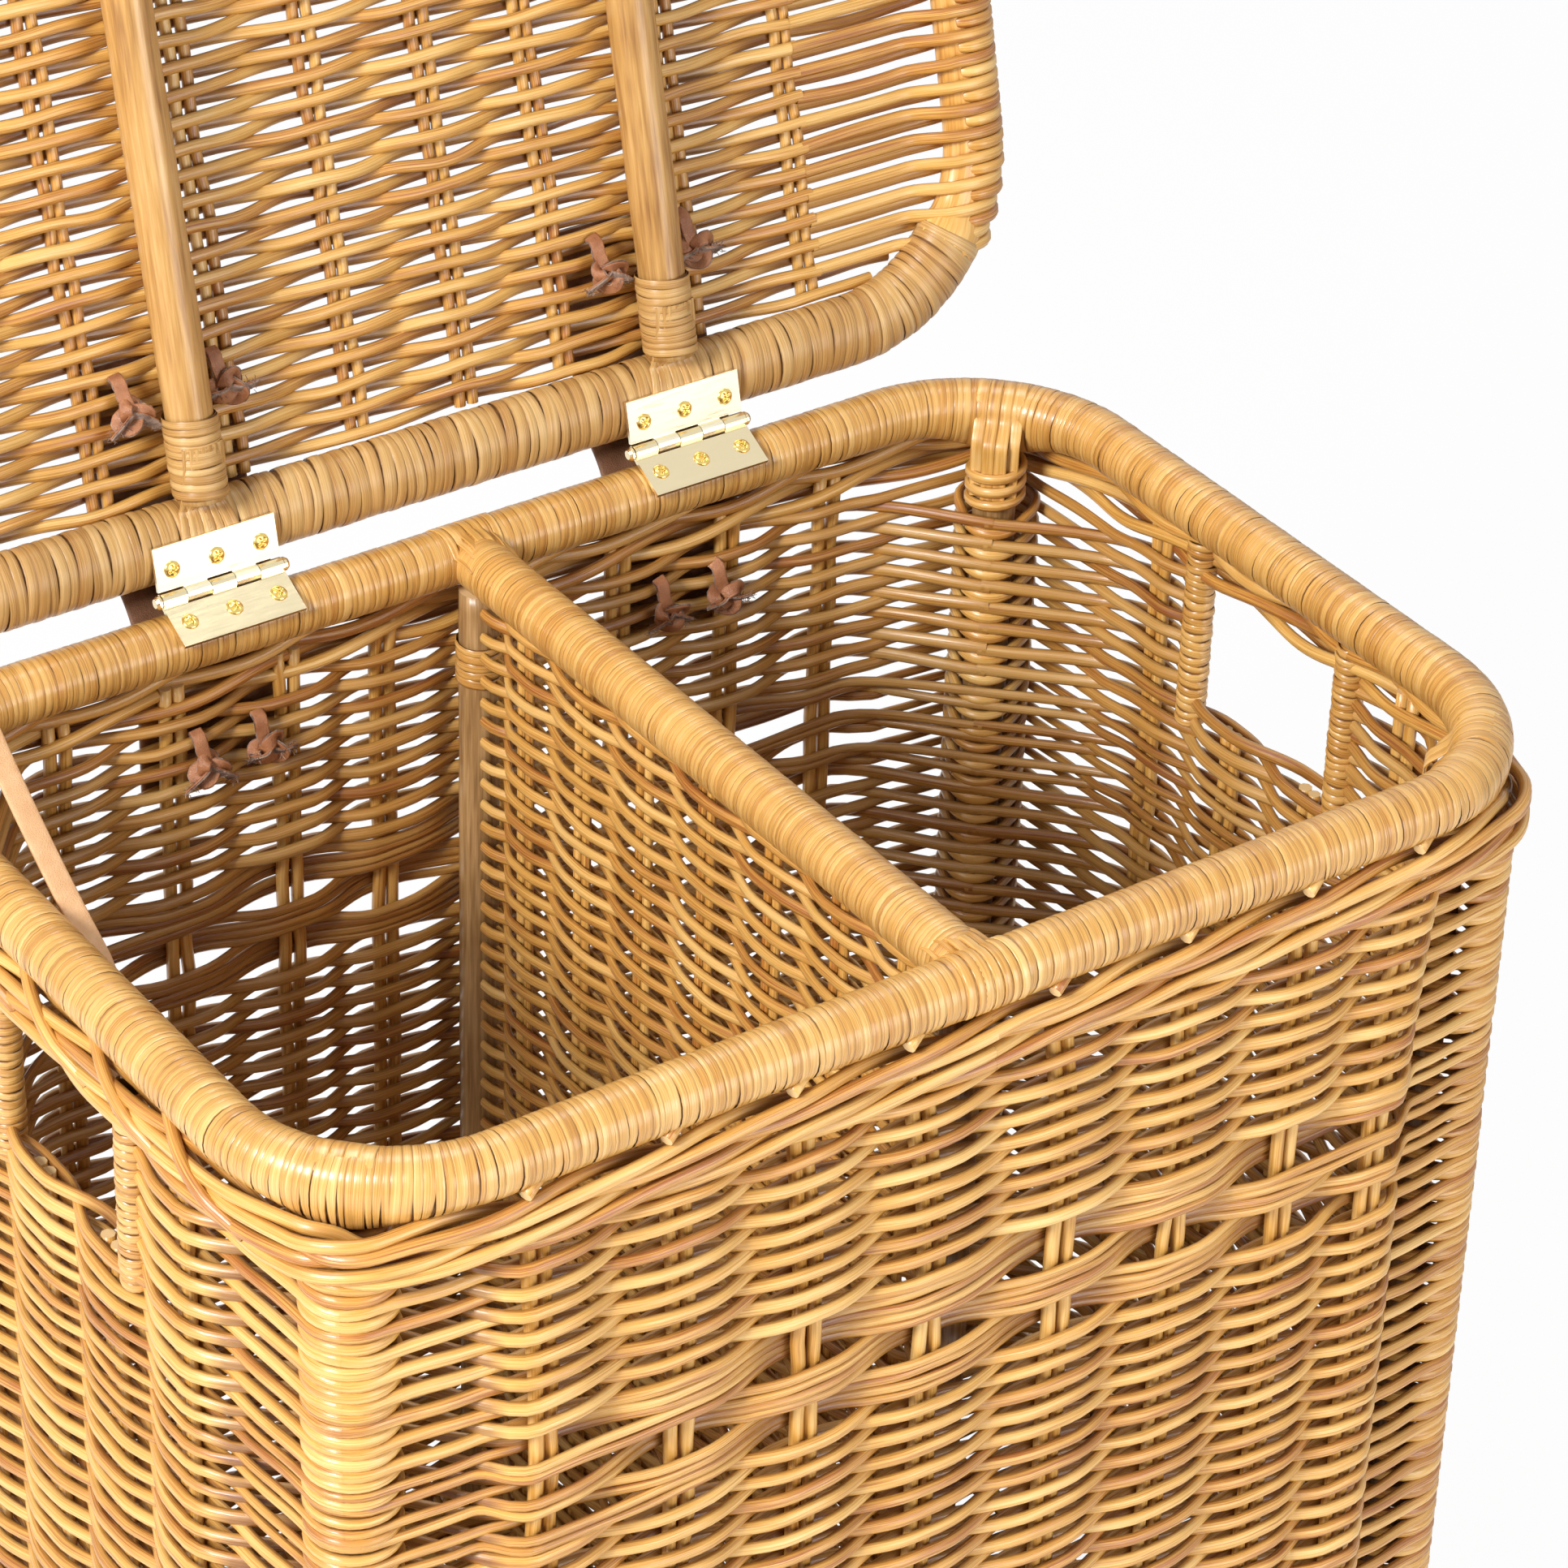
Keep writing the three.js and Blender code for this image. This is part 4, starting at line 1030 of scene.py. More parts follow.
@dataclass
class Walls:
    """Woven walls: plain rows, a band of ribbons, stakes in pairs and wound handle posts.

    Rows are numbered from the top: plain rows, then the rods of the ribbons, then plain rows
    down to the base. Rows pass outside and inside a corner post by turns; a ring round the
    post fills the corner at each row that passes inside.
    """

    palette: Palette
    rod_height: float = 6.5
    rod_depth: float = 5.4
    swing: float = 6.0
    row_pitch: float = 6.0
    upper_rows: int = 17
    ribbons: int = 3
    ribbon_rods: int = 4
    ribbon_pitch: float = 4.87
    stake_radius: float = 3.15
    stake_pair: float = 7.6
    corner_in: float = 12.0
    post_reach: float = 14.2
    steps: int = 10
    handle_y: float = 55.8
    # Least painted shade of the rods' outward and inward faces; the inward faces are darkened as painted
    # shade inside the basket
    least_shade: tuple[float, float] = (0.0, 0.46)
    lean_from: float = 470.0
    lean_over: float = 107.0
    border_in: tuple[float, float] = (13.0, 46.0)
    leave: float = 5.0
    fade: float = 14.0
    stake_top: float = 560.0
    stake_cut: float = 8.0
    handle_reach: tuple[float, float] = (18.0, 20.0)
    winding: Winding = Winding(7.7, 7.7, (3.6, 4.8), 0.6, 1.0, 1.0, 16, 0.1, 0.25, 90.0)

    def __post_init__(self) -> None:
        """Lays out the four sides along the walls' middle line, and the rows."""
        loop = SIZES.wall
        w, d = loop.straight
        q = loop.corner
        long_half, short_half = w + q / 2, d + q / 2
        front = (-219.0, -151.0, -87.0, -23.0, 47.6, 110.0, 171.6, 225.0)
        front_tops = (-226.0, -159.0, -97.0, -39.0, 36.0, 106.0, 172.6, 235.0)
        back = (-214.0, -154.0, -94.0, -42.0, 28.0, 89.0, 152.0, 210.0)
        ends = (-97.0, -36.0, 24.0, 86.0)
        self.sides = [
            WallSide("front", 0.0, 1, long_half, front, front_tops),
            WallSide("right", w + q + d, 1, short_half, ends, ends, 1, True),
            WallSide("back", 2 * (w + q + d), -1, long_half, back, back, 0),
            WallSide("left", -(w + q + d), -1, short_half, ends, ends, 1, True),
        ]
        (x, y), inward = SIZES.post_at, self.post_reach * math.sqrt(0.5)
        self.past_post = {True: y - inward, False: x - inward}
        self.post_off = x - inward - loop.half_width
        top = SIZES.wall_top - self.rod_height / 2 + 0.4
        upper = top - self.row_pitch * np.arange(self.upper_rows)
        rods = self.ribbons * self.ribbon_rods
        band = upper[-1] - (self.rod_height + self.ribbon_pitch) / 2 - self.ribbon_pitch * np.arange(rods)
        low = band[-1] - (self.rod_height + self.ribbon_pitch) / 2
        foot = SIZES.wall_bottom + self.rod_height / 2
        lower = np.linspace(low, foot, int((low - foot) / self.row_pitch) + 1)
        self.z = np.concatenate([upper, band, lower])
        self.in_band = np.zeros(len(self.z), bool)
        self.in_band[self.upper_rows : self.upper_rows + rods] = True
        self.drift = Drift(7, len(self.z), loop.total)
        girth = 1 + 0.06 * np.random.default_rng(8).normal(size=len(self.z))
        self.half_height = np.where(self.in_band, self.ribbon_pitch * 0.52, self.rod_height / 2) * girth
        self.half_depth = np.where(self.in_band, 1.9, self.rod_depth / 2)

    def lean(self, z: Array) -> Array:
        """Share of their lean to the rim that stakes and rows have at heights."""
        return held((z - self.lean_from) / self.lean_over)

    def drawn_in(self, s: Array) -> Array:
        """How far the border is drawn in at the corners: a bell curve round each of them."""
        depth, reach = self.border_in
        return depth * bell(SIZES.wall.from_corner(s), reach)

    def build(self) -> None:
        """Builds one woven piece for each side, then the corners, stakes and handle posts."""
        for index, side in enumerate(self.sides):
            self._side(side, 100 + index)
        self._corners()
        self._stakes()
        self._handles()

    def _signs(self, side: WallSide) -> Array:
        """Which side of each stake each row passes: 1 outside and -1 inside.

        Plain rows alternate. On the long sides the rods of a ribbon pass together, except
        at the first and the last stake, where they pass two by two.
        """
        row, stake = np.arange(len(self.z))[:, None], np.arange(1, len(side.stakes) + 1)[None, :]
        plain = row + stake + side.parity
        rod = row - self.upper_rows
        ribbon = rod // self.ribbon_rods + stake
        twos = rod // 2 + stake
        outer = (stake == 1) | (stake == len(side.stakes))
        band = np.where(outer, twos, ribbon)
        turns = plain if side.handle else np.where(self.in_band[:, None], band, plain)
        return (-1.0) ** turns

    def _rows(
        self,
        mesh: StrandMesh,
        rows: Array,
        side: WallSide,
        part: slice,
        ends: tuple[float, float],
        kinds: tuple[End, End],
    ) -> None:
        """Adds rows that pass the same stakes and end in the same way.

        Beside a corner, an outside row keeps to the inner plane of the weave and follows the
        loop; an inside row leaves its last stake for the post's inner side along a cubic
        that ends at 45 degrees.

        Args:
            mesh: The mesh they go to.
            rows: Numbers of the rows.
            side: The side of the basket.
            part: The stakes that they pass.
            ends: Stations of the two ends.
            kinds: How each end is made.
        """
        stakes = side.stations(side.stakes)[part]
        lean = (side.stations(side.tops) - side.stations(side.stakes))[part]
        swing = self.swing * np.where(self.in_band[rows], 0.9, 1.0)[:, None]
        values = self._signs(side)[rows][:, part] * swing
        values = values * mesh.rng.uniform(0.93, 1.06, values.shape)
        nodes, flats = stakes, np.full(len(stakes), 6.5)
        last = values[:, [0, -1]]
        for end, kind, first in ((ends[0], kinds[0], True), (ends[1], kinds[1], False)):
            inward = 1.0 if first else -1.0
            if kind is End.OUTSIDE:
                place = [end - 2.0 * inward, end, (stakes[0] if first else stakes[-1]) - 30.0 * inward]
                level, flat = [-self.corner_in, -self.corner_in, -8.5], [0.0, SIZES.wall.corner / 2, 0.0]
            else:
                place, flat, level = [end - 1.5 * inward, end], [0.0, 0.0], [0.0, 0.0]
            order = slice(None, None, 1 if first else -1)
            extra = np.broadcast_to(level[order], (len(rows), len(place)))
            pieces = [extra, values], [np.array(place[order]), nodes], [np.array(flat[order]), flats]
            values, nodes, flats = (np.concatenate(p if first else p[::-1], -1) for p in pieces)
        s = np.broadcast_to(spread(nodes, self.steps), (len(rows), (len(nodes) - 1) * self.steps + 1))
        off = weave_wave(s, nodes, values, flats)
        hidden = np.ones_like(s)
        for column, inward in ((0, 1.0), (1, -1.0)):
            end, kind, stake = ends[column], kinds[column], stakes[-column]
            past = (stake - s) * inward - self.leave
            if kind is End.OUTSIDE:
                hidden = hidden * held(1.0 - past / self.fade)
            if kind is End.INSIDE:
                run = abs(stake - end) - self.leave
                t = np.clip(past / run, 0.0, 1.05)
                drop = last[:, [column]] - self.post_off
                dive = drop * eased(t) + run * t * t * (t - 1)
                off = np.where(t > 0, last[:, [column]] - dive, off)
        z = self.z[rows][:, None] + self.drift.at(s, 0.4, rows)
        rod = (rows - self.upper_rows) // self.ribbon_rods * self.ribbon_rods
        ribbon = self.upper_rows + rod + (self.ribbon_rods - 1) / 2
        middle = np.interp(ribbon, np.arange(len(self.z)), self.z)[:, None]
        inside = held(-off / self.swing) * np.where(self.in_band[rows], 0.22, 0.0)[:, None]
        z = z + (middle - z) * inside
        full = np.concatenate([[ends[0]], stakes, [ends[1]]])
        slip = np.interp(s, full, np.concatenate([[0.0], lean, [0.0]]))
        s = s + slip * self.lean(z)
        point, out = SIZES.wall.at(s)
        half = self.half_height[rows][:, None] * (1 + self.drift.at(s, 0.02, rows))
        path = raised(point + out * off[..., None], z)
        # Painted shade for rods that lie inside the stakes, faded out beside an outside corner where those
        # rods show
        shade = np.clip(off / self.swing, -1.0, 1.0)
        off = np.where(shade < 0, shade * hidden, shade)
        depth = self.half_depth[rows][:, None]
        mesh.rods(path, UP, half, depth, off=off, least_shade=self.least_shade, number=rows, u=s)

    def _corner_kinds(self, side: WallSide, row: int) -> tuple[End, End]:
        """How the rows of a row's parity pass the corner posts at both ends of a side."""
        first = row + 1 + side.parity
        signs = (first, first + len(side.stakes) - 1)
        return tuple(End.INSIDE if turn % 2 == 0 else End.OUTSIDE for turn in signs)

    def _side(self, side: WallSide, seed: int) -> None:
        """Builds the woven piece of one side; rows beside a hand hole end at its posts."""
        mesh = StrandMesh("weave_" + side.name, seed)
        every = np.arange(len(self.z))
        past = self.past_post[side.handle]
        reach = {End.OUTSIDE: side.half, End.INSIDE: past}
        cut = self.z > SIZES.sill - self.rod_height / 2 + 0.5 if side.handle else np.zeros(len(every), bool)
        for turn in (0, 1):
            kinds = self._corner_kinds(side, turn)
            ends = side.middle - reach[kinds[0]], side.middle + reach[kinds[1]]
            mine = every % 2 == turn
            self._rows(mesh, every[mine & ~cut], side, slice(None), ends, kinds)
            if side.handle:
                low, high = side.middle - self.handle_y, side.middle + self.handle_y
                for few, span, made in (
                    (slice(0, 1), (ends[0], low), (kinds[0], End.POST)),
                    (slice(-1, None), (high, ends[1]), (End.POST, kinds[1])),
                ):
                    self._rows(mesh, every[mine & cut], side, few, span, made)
        mesh.build(self.palette.woven, Body.BASKET, Slot.WEAVE, "wall_" + side.name)

    def _corners(self) -> None:
        """Builds the rings round the corner posts.

        In plan a ring is the outline of two circles, the wall's corner and one close round the
        post: the point furthest out in each direction. Its inner side hangs one row lower.
        """
        mesh = StrandMesh("corner_rings", 119)
        (x, y), small = SIZES.post_at, self.post_reach
        large = SIZES.wall.radius - self.corner_in
        theta = TURN * np.linspace(0.36, 1.36, 31)
        facing = np.stack([np.sin(theta), np.cos(theta)], -1)
        apart = math.hypot(SIZES.wall.straight[0] - x, SIZES.wall.straight[1] - y)
        outer = (facing[:, 1] * apart + large > small)[:, None]
        plan = np.where(outer, facing * large + np.array([0.0, apart]), facing * small)
        fall = -self.row_pitch * held((10.0 - plan[:, 1]) / 24.0)
        for side in self.sides:
            rows = np.arange(len(self.z))
            rows = rows[[self._corner_kinds(side, row)[1] is End.INSIDE for row in rows]]
            point, out = SIZES.wall.at(np.array([side.middle + side.half]))
            along = np.array([-out[0, 1], out[0, 0], 0.0])
            heart = np.array([math.copysign(x, point[0, 0]), math.copysign(y, point[0, 1]), 0.0])
            level = heart + plan[:, :1] * along + plan[:, 1:] * out[0]
            z = self.z[rows][:, None] + fall + mesh.rng.normal(0, 0.3, (len(rows), 1))
            half = self.half_height[rows][:, None] * np.ones(len(theta))
            path = raised(np.broadcast_to(level, (len(rows), *level.shape)), z)
            # The rings take the walls' least painted shade
            mesh.rods(path, UP, half, 2.5, 8, least_shade=self.least_shade, number=rows)
        mesh.build(self.palette.woven, Body.BASKET, Slot.WEAVE)

    def _stakes(self) -> None:
        """Builds the stakes, two by two, from the base to the border."""
        mesh = StrandMesh("stakes", 120)
        low = np.concatenate([side.stations(side.stakes) for side in self.sides])
        high = np.concatenate([side.stations(side.tops) for side in self.sides])
        short = np.concatenate(
            [side.handle & (np.abs(side.stakes)[:: side.sense] < self.handle_y) for side in self.sides]
        )
        pair = np.array([-0.5, 0.5]) * self.stake_pair
        low, high = (low[:, None] + pair).ravel(), (high[:, None] + pair).ravel()
        top = np.where(np.repeat(short, 2), SIZES.sill - self.stake_cut, self.stake_top)
        z = SIZES.wall_bottom + np.linspace(0, 1, 40) * (top[:, None] - SIZES.wall_bottom)
        s = low[:, None] + (high - low)[:, None] * self.lean(z) + Drift(9, len(low)).at(z, 0.5)
        point, out = SIZES.wall.at(s)
        radius = self.stake_radius * mesh.rng.uniform(0.94, 1.06, (len(low), 1))
        # The stakes get a little painted shade all round
        mesh.rods(raised(point, z), out, radius, radius * 1.05, capped=True, least_shade=(0.12, 0.12))
        mesh.build([self.palette.stake, self.palette.pith], Body.BASKET, Slot.WEAVE)

    def _handles(self) -> None:
        """Builds the wound posts at both sides of each hand hole."""
        names = []
        mesh = StrandMesh("handle_posts", 121)
        for side, sign in (("left", -1.0), ("right", 1.0)):
            for end, y in (("front", -self.handle_y), ("back", self.handle_y)):
                x = sign * SIZES.wall.half_width
                below, above = self.handle_reach
                foot, head = (x, y, SIZES.sill - below), (x, y, SIZES.wall_top + above)
                mesh.wrap(LineCourse(foot, head, (0.0, 1.0, 0.0)), self.winding)
                names.append(f"handle_post_{side}_{end}")
        mesh.build(self.palette.wound, Body.BASKET, Slot.CANE, *names)


@dataclass
class Border:
    """The waled border under the rim, the wound rim hoop and the cut stakes between them."""

    palette: Palette
    walls: Walls
    wale_rows: tuple[float, ...] = (564.8, 552.2)
    wale_rise: float = 4.3
    wale_out: float = 6.0
    wale_in: float = -4.4
    divisions: int = 30
    winding: Winding = Winding(
        SIZES.rim_radius, SIZES.rim_radius, (2.2, 4.8), 1.0, 0.5, 1.06, 20, 0.08, 0.6, slits=0.5, drop=9.0
    )

    def build(self) -> None:
        """Builds the wale, the rim and the stake ends."""
        self._wale()
        self._rim()
        self._stubs()

    def _wale(self) -> None:
        """Builds rows of three rods that each pass outside two stakes and inside one.

        Outside, a rod climbs from the bottom of its row to the top; inside it drops back.
        """
        loop = SIZES.wall
        mesh = StrandMesh("top_wale_rods", 130)
        k = self.divisions * 12 + 1
        s = np.linspace(0.0, loop.total, k)
        rows = np.repeat(np.array(self.wale_rows), 3)
        rod, row = np.tile(np.arange(3), 2)[:, None], np.repeat([0.0, 1.4], 3)[:, None]
        phase = (s[None, :] / loop.total * self.divisions - rod - row) / 3.0
        turn = np.mod(phase, 1.0)
        outside = turn < 0.68
        part = np.where(outside, turn / 0.68, (turn - 0.68) / 0.32)
        rise = np.where(outside, -np.cos(math.pi * part), np.cos(math.pi * part)) * self.wale_rise
        swell = np.sin(math.pi * part)
        off = np.where(outside, self.wale_out * np.minimum(1.0, 1.5 * swell), self.wale_in * swell)
        kernel = np.hanning(9) / np.hanning(9).sum()
        padded = np.concatenate([off[:, -5:-1], off, off[:, 1:5]], 1)
        off = np.stack([np.convolve(row, kernel, "valid") for row in padded])
        z = rows[:, None] + rise + Drift(11, 6, loop.total).at(s, 0.3)
        point, out = loop.at(np.broadcast_to(s, off.shape))
        path = raised(point + out * (off - self.walls.drawn_in(s))[..., None], z)
        mesh.rods(path, UP, 3.3, 2.9, off=off / self.wale_out)
        mesh.build(self.palette.woven, Body.BASKET, Slot.WEAVE, "top_wale")

    def _rim(self) -> None:
        """Builds the rim, wound in split cane that parts round each stake end below."""
        mesh = StrandMesh("rim_wrap", 131)
        places = self._stub_places(SIZES.rim)
        mesh.wrap(LoopCourse(SIZES.rim, SIZES.rim_z), self.winding, parting=places)
        mesh.build(self.palette.wound, Body.BASKET, Slot.CANE, "rim_hoop")

    def _stub_places(self, loop: RoundedLoop) -> Array:
        """Stations of the stake ends along a loop, for the front and the back."""
        front, _, back, _ = self.walls.sides
        behind = back.stations(back.tops) - back.middle + loop.total / 2
        return np.concatenate([front.stations(front.tops), behind])

    def _stubs(self) -> None:
        """Builds the cut stake ends under the rim, and the long ones over the wale at the sides."""
        mesh = StrandMesh("stake_ends", 132)
        s = self._stub_places(SIZES.wall)
        t = np.linspace(0.0, 1.0, 4)
        point, out = SIZES.wall.at(s[:, None] + 5.0 - 11.0 * t)
        depth = 1.2 + 5.0 * t + mesh.rng.normal(0, 0.4, (len(s), 1))
        z = SIZES.rim_z - 6.4 - 4.6 * t + mesh.rng.normal(0, 0.5, (len(s), 1))
        mesh.rods(raised(point + out * depth[..., None], z), out, 2.9, 2.9, 8, True)
        s = np.concatenate([side.stations(side.tops) for side in self.walls.sides if side.handle])
        t = np.linspace(0.0, 1.0, 14)
        along = s[:, None] - 12.0 + 66.0 * t
        point, out = SIZES.wall.at(along)
        swell = 10.5 * np.sin(math.pi * np.minimum(t, 0.62) / 1.24)
        depth = -1.0 + swell - 16.0 * held(t - 0.72) - self.walls.drawn_in(along)
        z = SIZES.rim_z - 8.0 - 26.0 * t**1.15 + mesh.rng.normal(0, 0.6, (len(s), 1))
        mesh.rods(raised(point + out * depth[..., None], z), UP, 3.2, 2.9, 8, True)
        mesh.build([self.palette.weave, self.palette.pith], Body.BASKET, Slot.WEAVE)


@dataclass
class Frame:
    """Bare posts, the divider with its wound rail, and the base."""

    palette: Palette
    centre_post: tuple[float, float] = (191.2, 10.0)
    rail_radius: float = 13.5
    rail_half: float = 199.0
    panel_half: float = 181.0
    panel_top: float = 572.2
    post_top: float = 571.7
    strip_drop: float = 40.0
    ring_below: float = 44.0
    ring_pitch: float = 7.4
    ring_half: tuple[float, float] = (2.8, 1.9)

    def build(self) -> None:
        """Builds the posts, the divider and the base."""
        self._posts()
        self._divider()
        self._base()
        self._saddles()
        self._post_strips()

    def _posts(self) -> None:
        """Builds the six bare posts with slow bends and swollen joints."""
        mesh = StrandMesh("posts", 140)
        (x, y), r = SIZES.post_at, SIZES.post_radius
        cy, cr = self.centre_post
        feet = np.array([[-x, -y], [x, -y], [-x, y], [x, y], [0, -cy], [0, cy]])
        radius = np.array([r, r, r, r, cr, cr])[:, None]
        z = np.broadcast_to(np.linspace(SIZES.wall_bottom, self.post_top, 60), (6, 60))
        joint = np.exp(-(((z - mesh.rng.uniform(150, 450, (6, 1))) / 5.0) ** 2))
        size = radius - 0.35 + 0.3 * joint + Drift(12, 6).at(z, 0.08)
        path = np.concatenate([np.broadcast_to(feet[:, None], (6, 60, 2)), z[..., None]], -1)
        mesh.rods(path, X_AXIS, size, size, 16, True)
        names = [f"corner_post_{k}" for k in ("fl", "fr", "bl", "br")]
        names += ["centre_post_front", "centre_post_back"]
        mesh.build([self.palette.pole, self.palette.pith], Body.BASKET, Slot.POLE, *names)

    def _divider(self) -> None:
        """Builds the divider's woven panel and its wound rail."""
        mesh = StrandMesh("divider_weave", 141)
        count = 94
        z = np.linspace(self.panel_top - 3.0, 25.6, count)
        stakes = (-152.0, -103.0, -52.0, 0.0, 50.0, 101.0, 150.0)
        nodes = np.array([-self.panel_half, *stakes, self.panel_half])
        rows = len(z)
        values = 4.0 * (-1.0) ** (np.arange(rows)[:, None] + np.arange(len(nodes))[None, :])
        s = np.broadcast_to(spread(nodes, 8), (rows, (len(nodes) - 1) * 8 + 1))
        off = weave_wave(s, nodes, values, np.full(len(nodes), 4.0))
        heights = z[:, None] + Drift(13, rows).at(s, 0.45)
        path = np.stack([off, s, heights], -1)
        half = 3.0 * mesh.rng.uniform(0.93, 1.07, (rows, 1))
        # The divider's rods get painted shade on both faces, more where they lie behind others
        mesh.rods(path, UP, half, 1.95, off=off / 4.0, least_shade=(0.16, 0.16))
        ys = (nodes[1:-1, None] + np.array([-3.4, 3.4])).ravel()
        y, z = np.meshgrid(ys, np.linspace(24.0, 571.0, 30), indexing="ij")
        mesh.rods(np.stack([np.zeros_like(y), y, z], -1), Y_AXIS, 2.8, 2.2)
        mesh.build(self.palette.woven, Body.BASKET, Slot.WEAVE, "divider_panel")
        mesh = StrandMesh("divider_rail_wrap", 142)
        course = LineCourse((0.0, -self.rail_half, SIZES.rim_z), (0.0, self.rail_half, SIZES.rim_z))
        r = self.rail_radius
        mesh.wrap(course, Winding(r, r, (2.2, 3.4), 1.0, 0.45, 1.06, 20, 0.06, 0.65))
        mesh.build(self.palette.wound, Body.BASKET, Slot.CANE, "divider_rail")

    def _saddles(self) -> None:
        """Builds the strips that tie both ends of the divider's rail over the rim.

        A strip starts level on the rail's top, meets the rim where the rim is as high, and
        goes over it and down outside along the rim's circle.
        """
        mesh = StrandMesh("rail_saddles", 145)
        x = np.linspace(-11.6, 11.6, 7)[:, None] + mesh.rng.normal(0, 0.3, (7, 1))
        r = SIZES.rim_radius + 0.2
        high = np.sqrt((self.rail_radius + 0.2) ** 2 - x**2)
        meet = np.arcsin(np.minimum(high / r, 0.995))
        turn = meet + (math.radians(216) - meet) * np.linspace(0.0, 1.0, 16)
        level = np.linspace(13.0, 0.0, 5)[:-1] + r * np.cos(meet)
        inward = np.concatenate([level, r * np.cos(turn)], 1)
        height = np.concatenate([high - np.array([1.6, 0.5, 0.1, 0.0]), r * np.sin(turn)], 1)
        for sign in (-1.0, 1.0):
            y = sign * (SIZES.rim.half_depth - inward)
            fanned = x * (1.0 + 0.006 * (14.0 - inward))
            path = np.stack([fanned, y, SIZES.rim_z + height], -1)
            half = 2.1 * mesh.rng.uniform(0.94, 1.04, (7, 1))
            mesh.rods(path, X_AXIS, half, 0.35, 8, square=0.45)
        mesh.build(self.palette.wound, Body.BASKET, Slot.CANE)

    def _post_strips(self) -> None:
        """Builds the strips that hang each corner post on the rim, with a ring round the post.

        Seen across the corner, a strip follows the rim's circle from its top, where it comes
        out from under the winding, to its inner side, then lies down on the post's own circle.
        """
        mesh = StrandMesh("post_strips", 146)
        (px, py), pr = SIZES.post_at, SIZES.post_radius
        w, d = SIZES.rim.straight
        lateral = np.linspace(-8.6, 8.6, 4)[:, None]
        turn = np.radians(np.linspace(44.0, 172.0, 18))
        r = SIZES.rim_radius + 0.1 - 1.4 * held(1 - (turn - turn[0]) / 0.9)
        top = np.broadcast_to(SIZES.rim.radius + r * np.cos(turn), (4, 18))
        rise = np.broadcast_to(r * np.sin(turn), (4, 18))
        post = math.hypot(px - w, py - d) - np.sqrt((pr + 0.9) ** 2 - lateral**2)
        share = np.linspace(0.0, 1.0, 15)[None, 1:]
        ease = eased(held(share / 0.3))
        reach = np.concatenate([top, top[:, -1:] + (post - top[:, -1:]) * ease], 1)
        height = np.concatenate([rise, rise[:, -1:] - self.strip_drop * share + 0 * lateral], 1)
        ring = TURN * np.linspace(0.0, 3.0, 73)[None, :]
        for sx, sy in ((-1, -1), (1, -1), (1, 1), (-1, 1)):
            out = unit(np.array([sx * (px - w), sy * (py - d), 0.0]))
            along = np.array([-out[1], out[0], 0.0])
            heart = np.array([sx * w, sy * d, SIZES.rim_z])
            drift = lateral * np.linspace(1.1, 1.0, 32) + mesh.rng.normal(0, 0.15, (4, 1))
            path = raised(heart + reach[..., None] * out + drift[..., None] * along, height)
            mesh.rods(path, along, 3.15 * mesh.rng.uniform(0.97, 1.02, (4, 1)), 0.35, 8, square=0.35)
            post_at = np.array([sx * px, sy * py, SIZES.rim_z - self.ring_below])
            circle = np.cos(ring)[..., None] * out + np.sin(ring)[..., None] * along
            circle = post_at + (pr + 2.4) * circle
            mesh.rods(raised(circle, ring / TURN * self.ring_pitch), UP, *self.ring_half)
        y = SIZES.rim.half_depth - 11.8
        course = LineCourse((0.0, y, 522.0), (0.0, y, 544.0), (0.0, 1.0, 0.0))
        mesh.wrap(course, Winding(11.3, 11.3, (3.4, 4.6), 0.6, 1.0, 1.0, 16, 0.1, 0.4, 90.0))
        mesh.build(self.palette.wound, Body.BASKET, Slot.CANE)

    def _base(self) -> None:
        """Builds the wound base hoop and the woven base."""
        low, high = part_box("base_hoop")
        half = [(high[i] - low[i]) / 2 / MM for i in range(3)]
        radius = half[2]
        loop = RoundedLoop(half[0] - radius, half[1] - radius, SIZES.rim.radius)
        mesh = StrandMesh("base_wrap", 143)
        course = LoopCourse(loop, (low[2] + high[2]) / 2 / MM)
        mesh.wrap(course, Winding(radius, radius, (4.5, 6.5), 0.8, 0.75, 0.98, 16))
        mesh.build(self.palette.wound, Body.BASKET, Slot.CANE, "base_hoop")
        low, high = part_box("base_panel")
        half_x, half_y = (high[0] - low[0]) / 2 / MM, (high[1] - low[1]) / 2 / MM
        middle, thick = (low[2] + high[2]) / 2 / MM, (high[2] - low[2]) / MM
        mesh = StrandMesh("base_weave", 144)
        stakes = np.linspace(-227.5, 227.5, 8)
        woven_panel(mesh, half_x - 1.0, half_y - 1.0, 68.0, 0.0, middle, thick, stakes, 6.6)
        mesh.build(self.palette.woven, Body.BASKET, Slot.WEAVE, "base_panel")
        refinish(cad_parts["base_batten"], self.palette.batten)


# How far past its stake a looped row ends, and half the depth of a panel's rods
LOOP_START = 6.0
PANEL_ROD = 2.15


def row_places(half_y: float, pitch: float) -> Array:
    """Places along y of the rows of a woven panel."""
    return np.linspace(-half_y + pitch / 2, half_y - pitch / 2, int(2 * half_y / pitch))


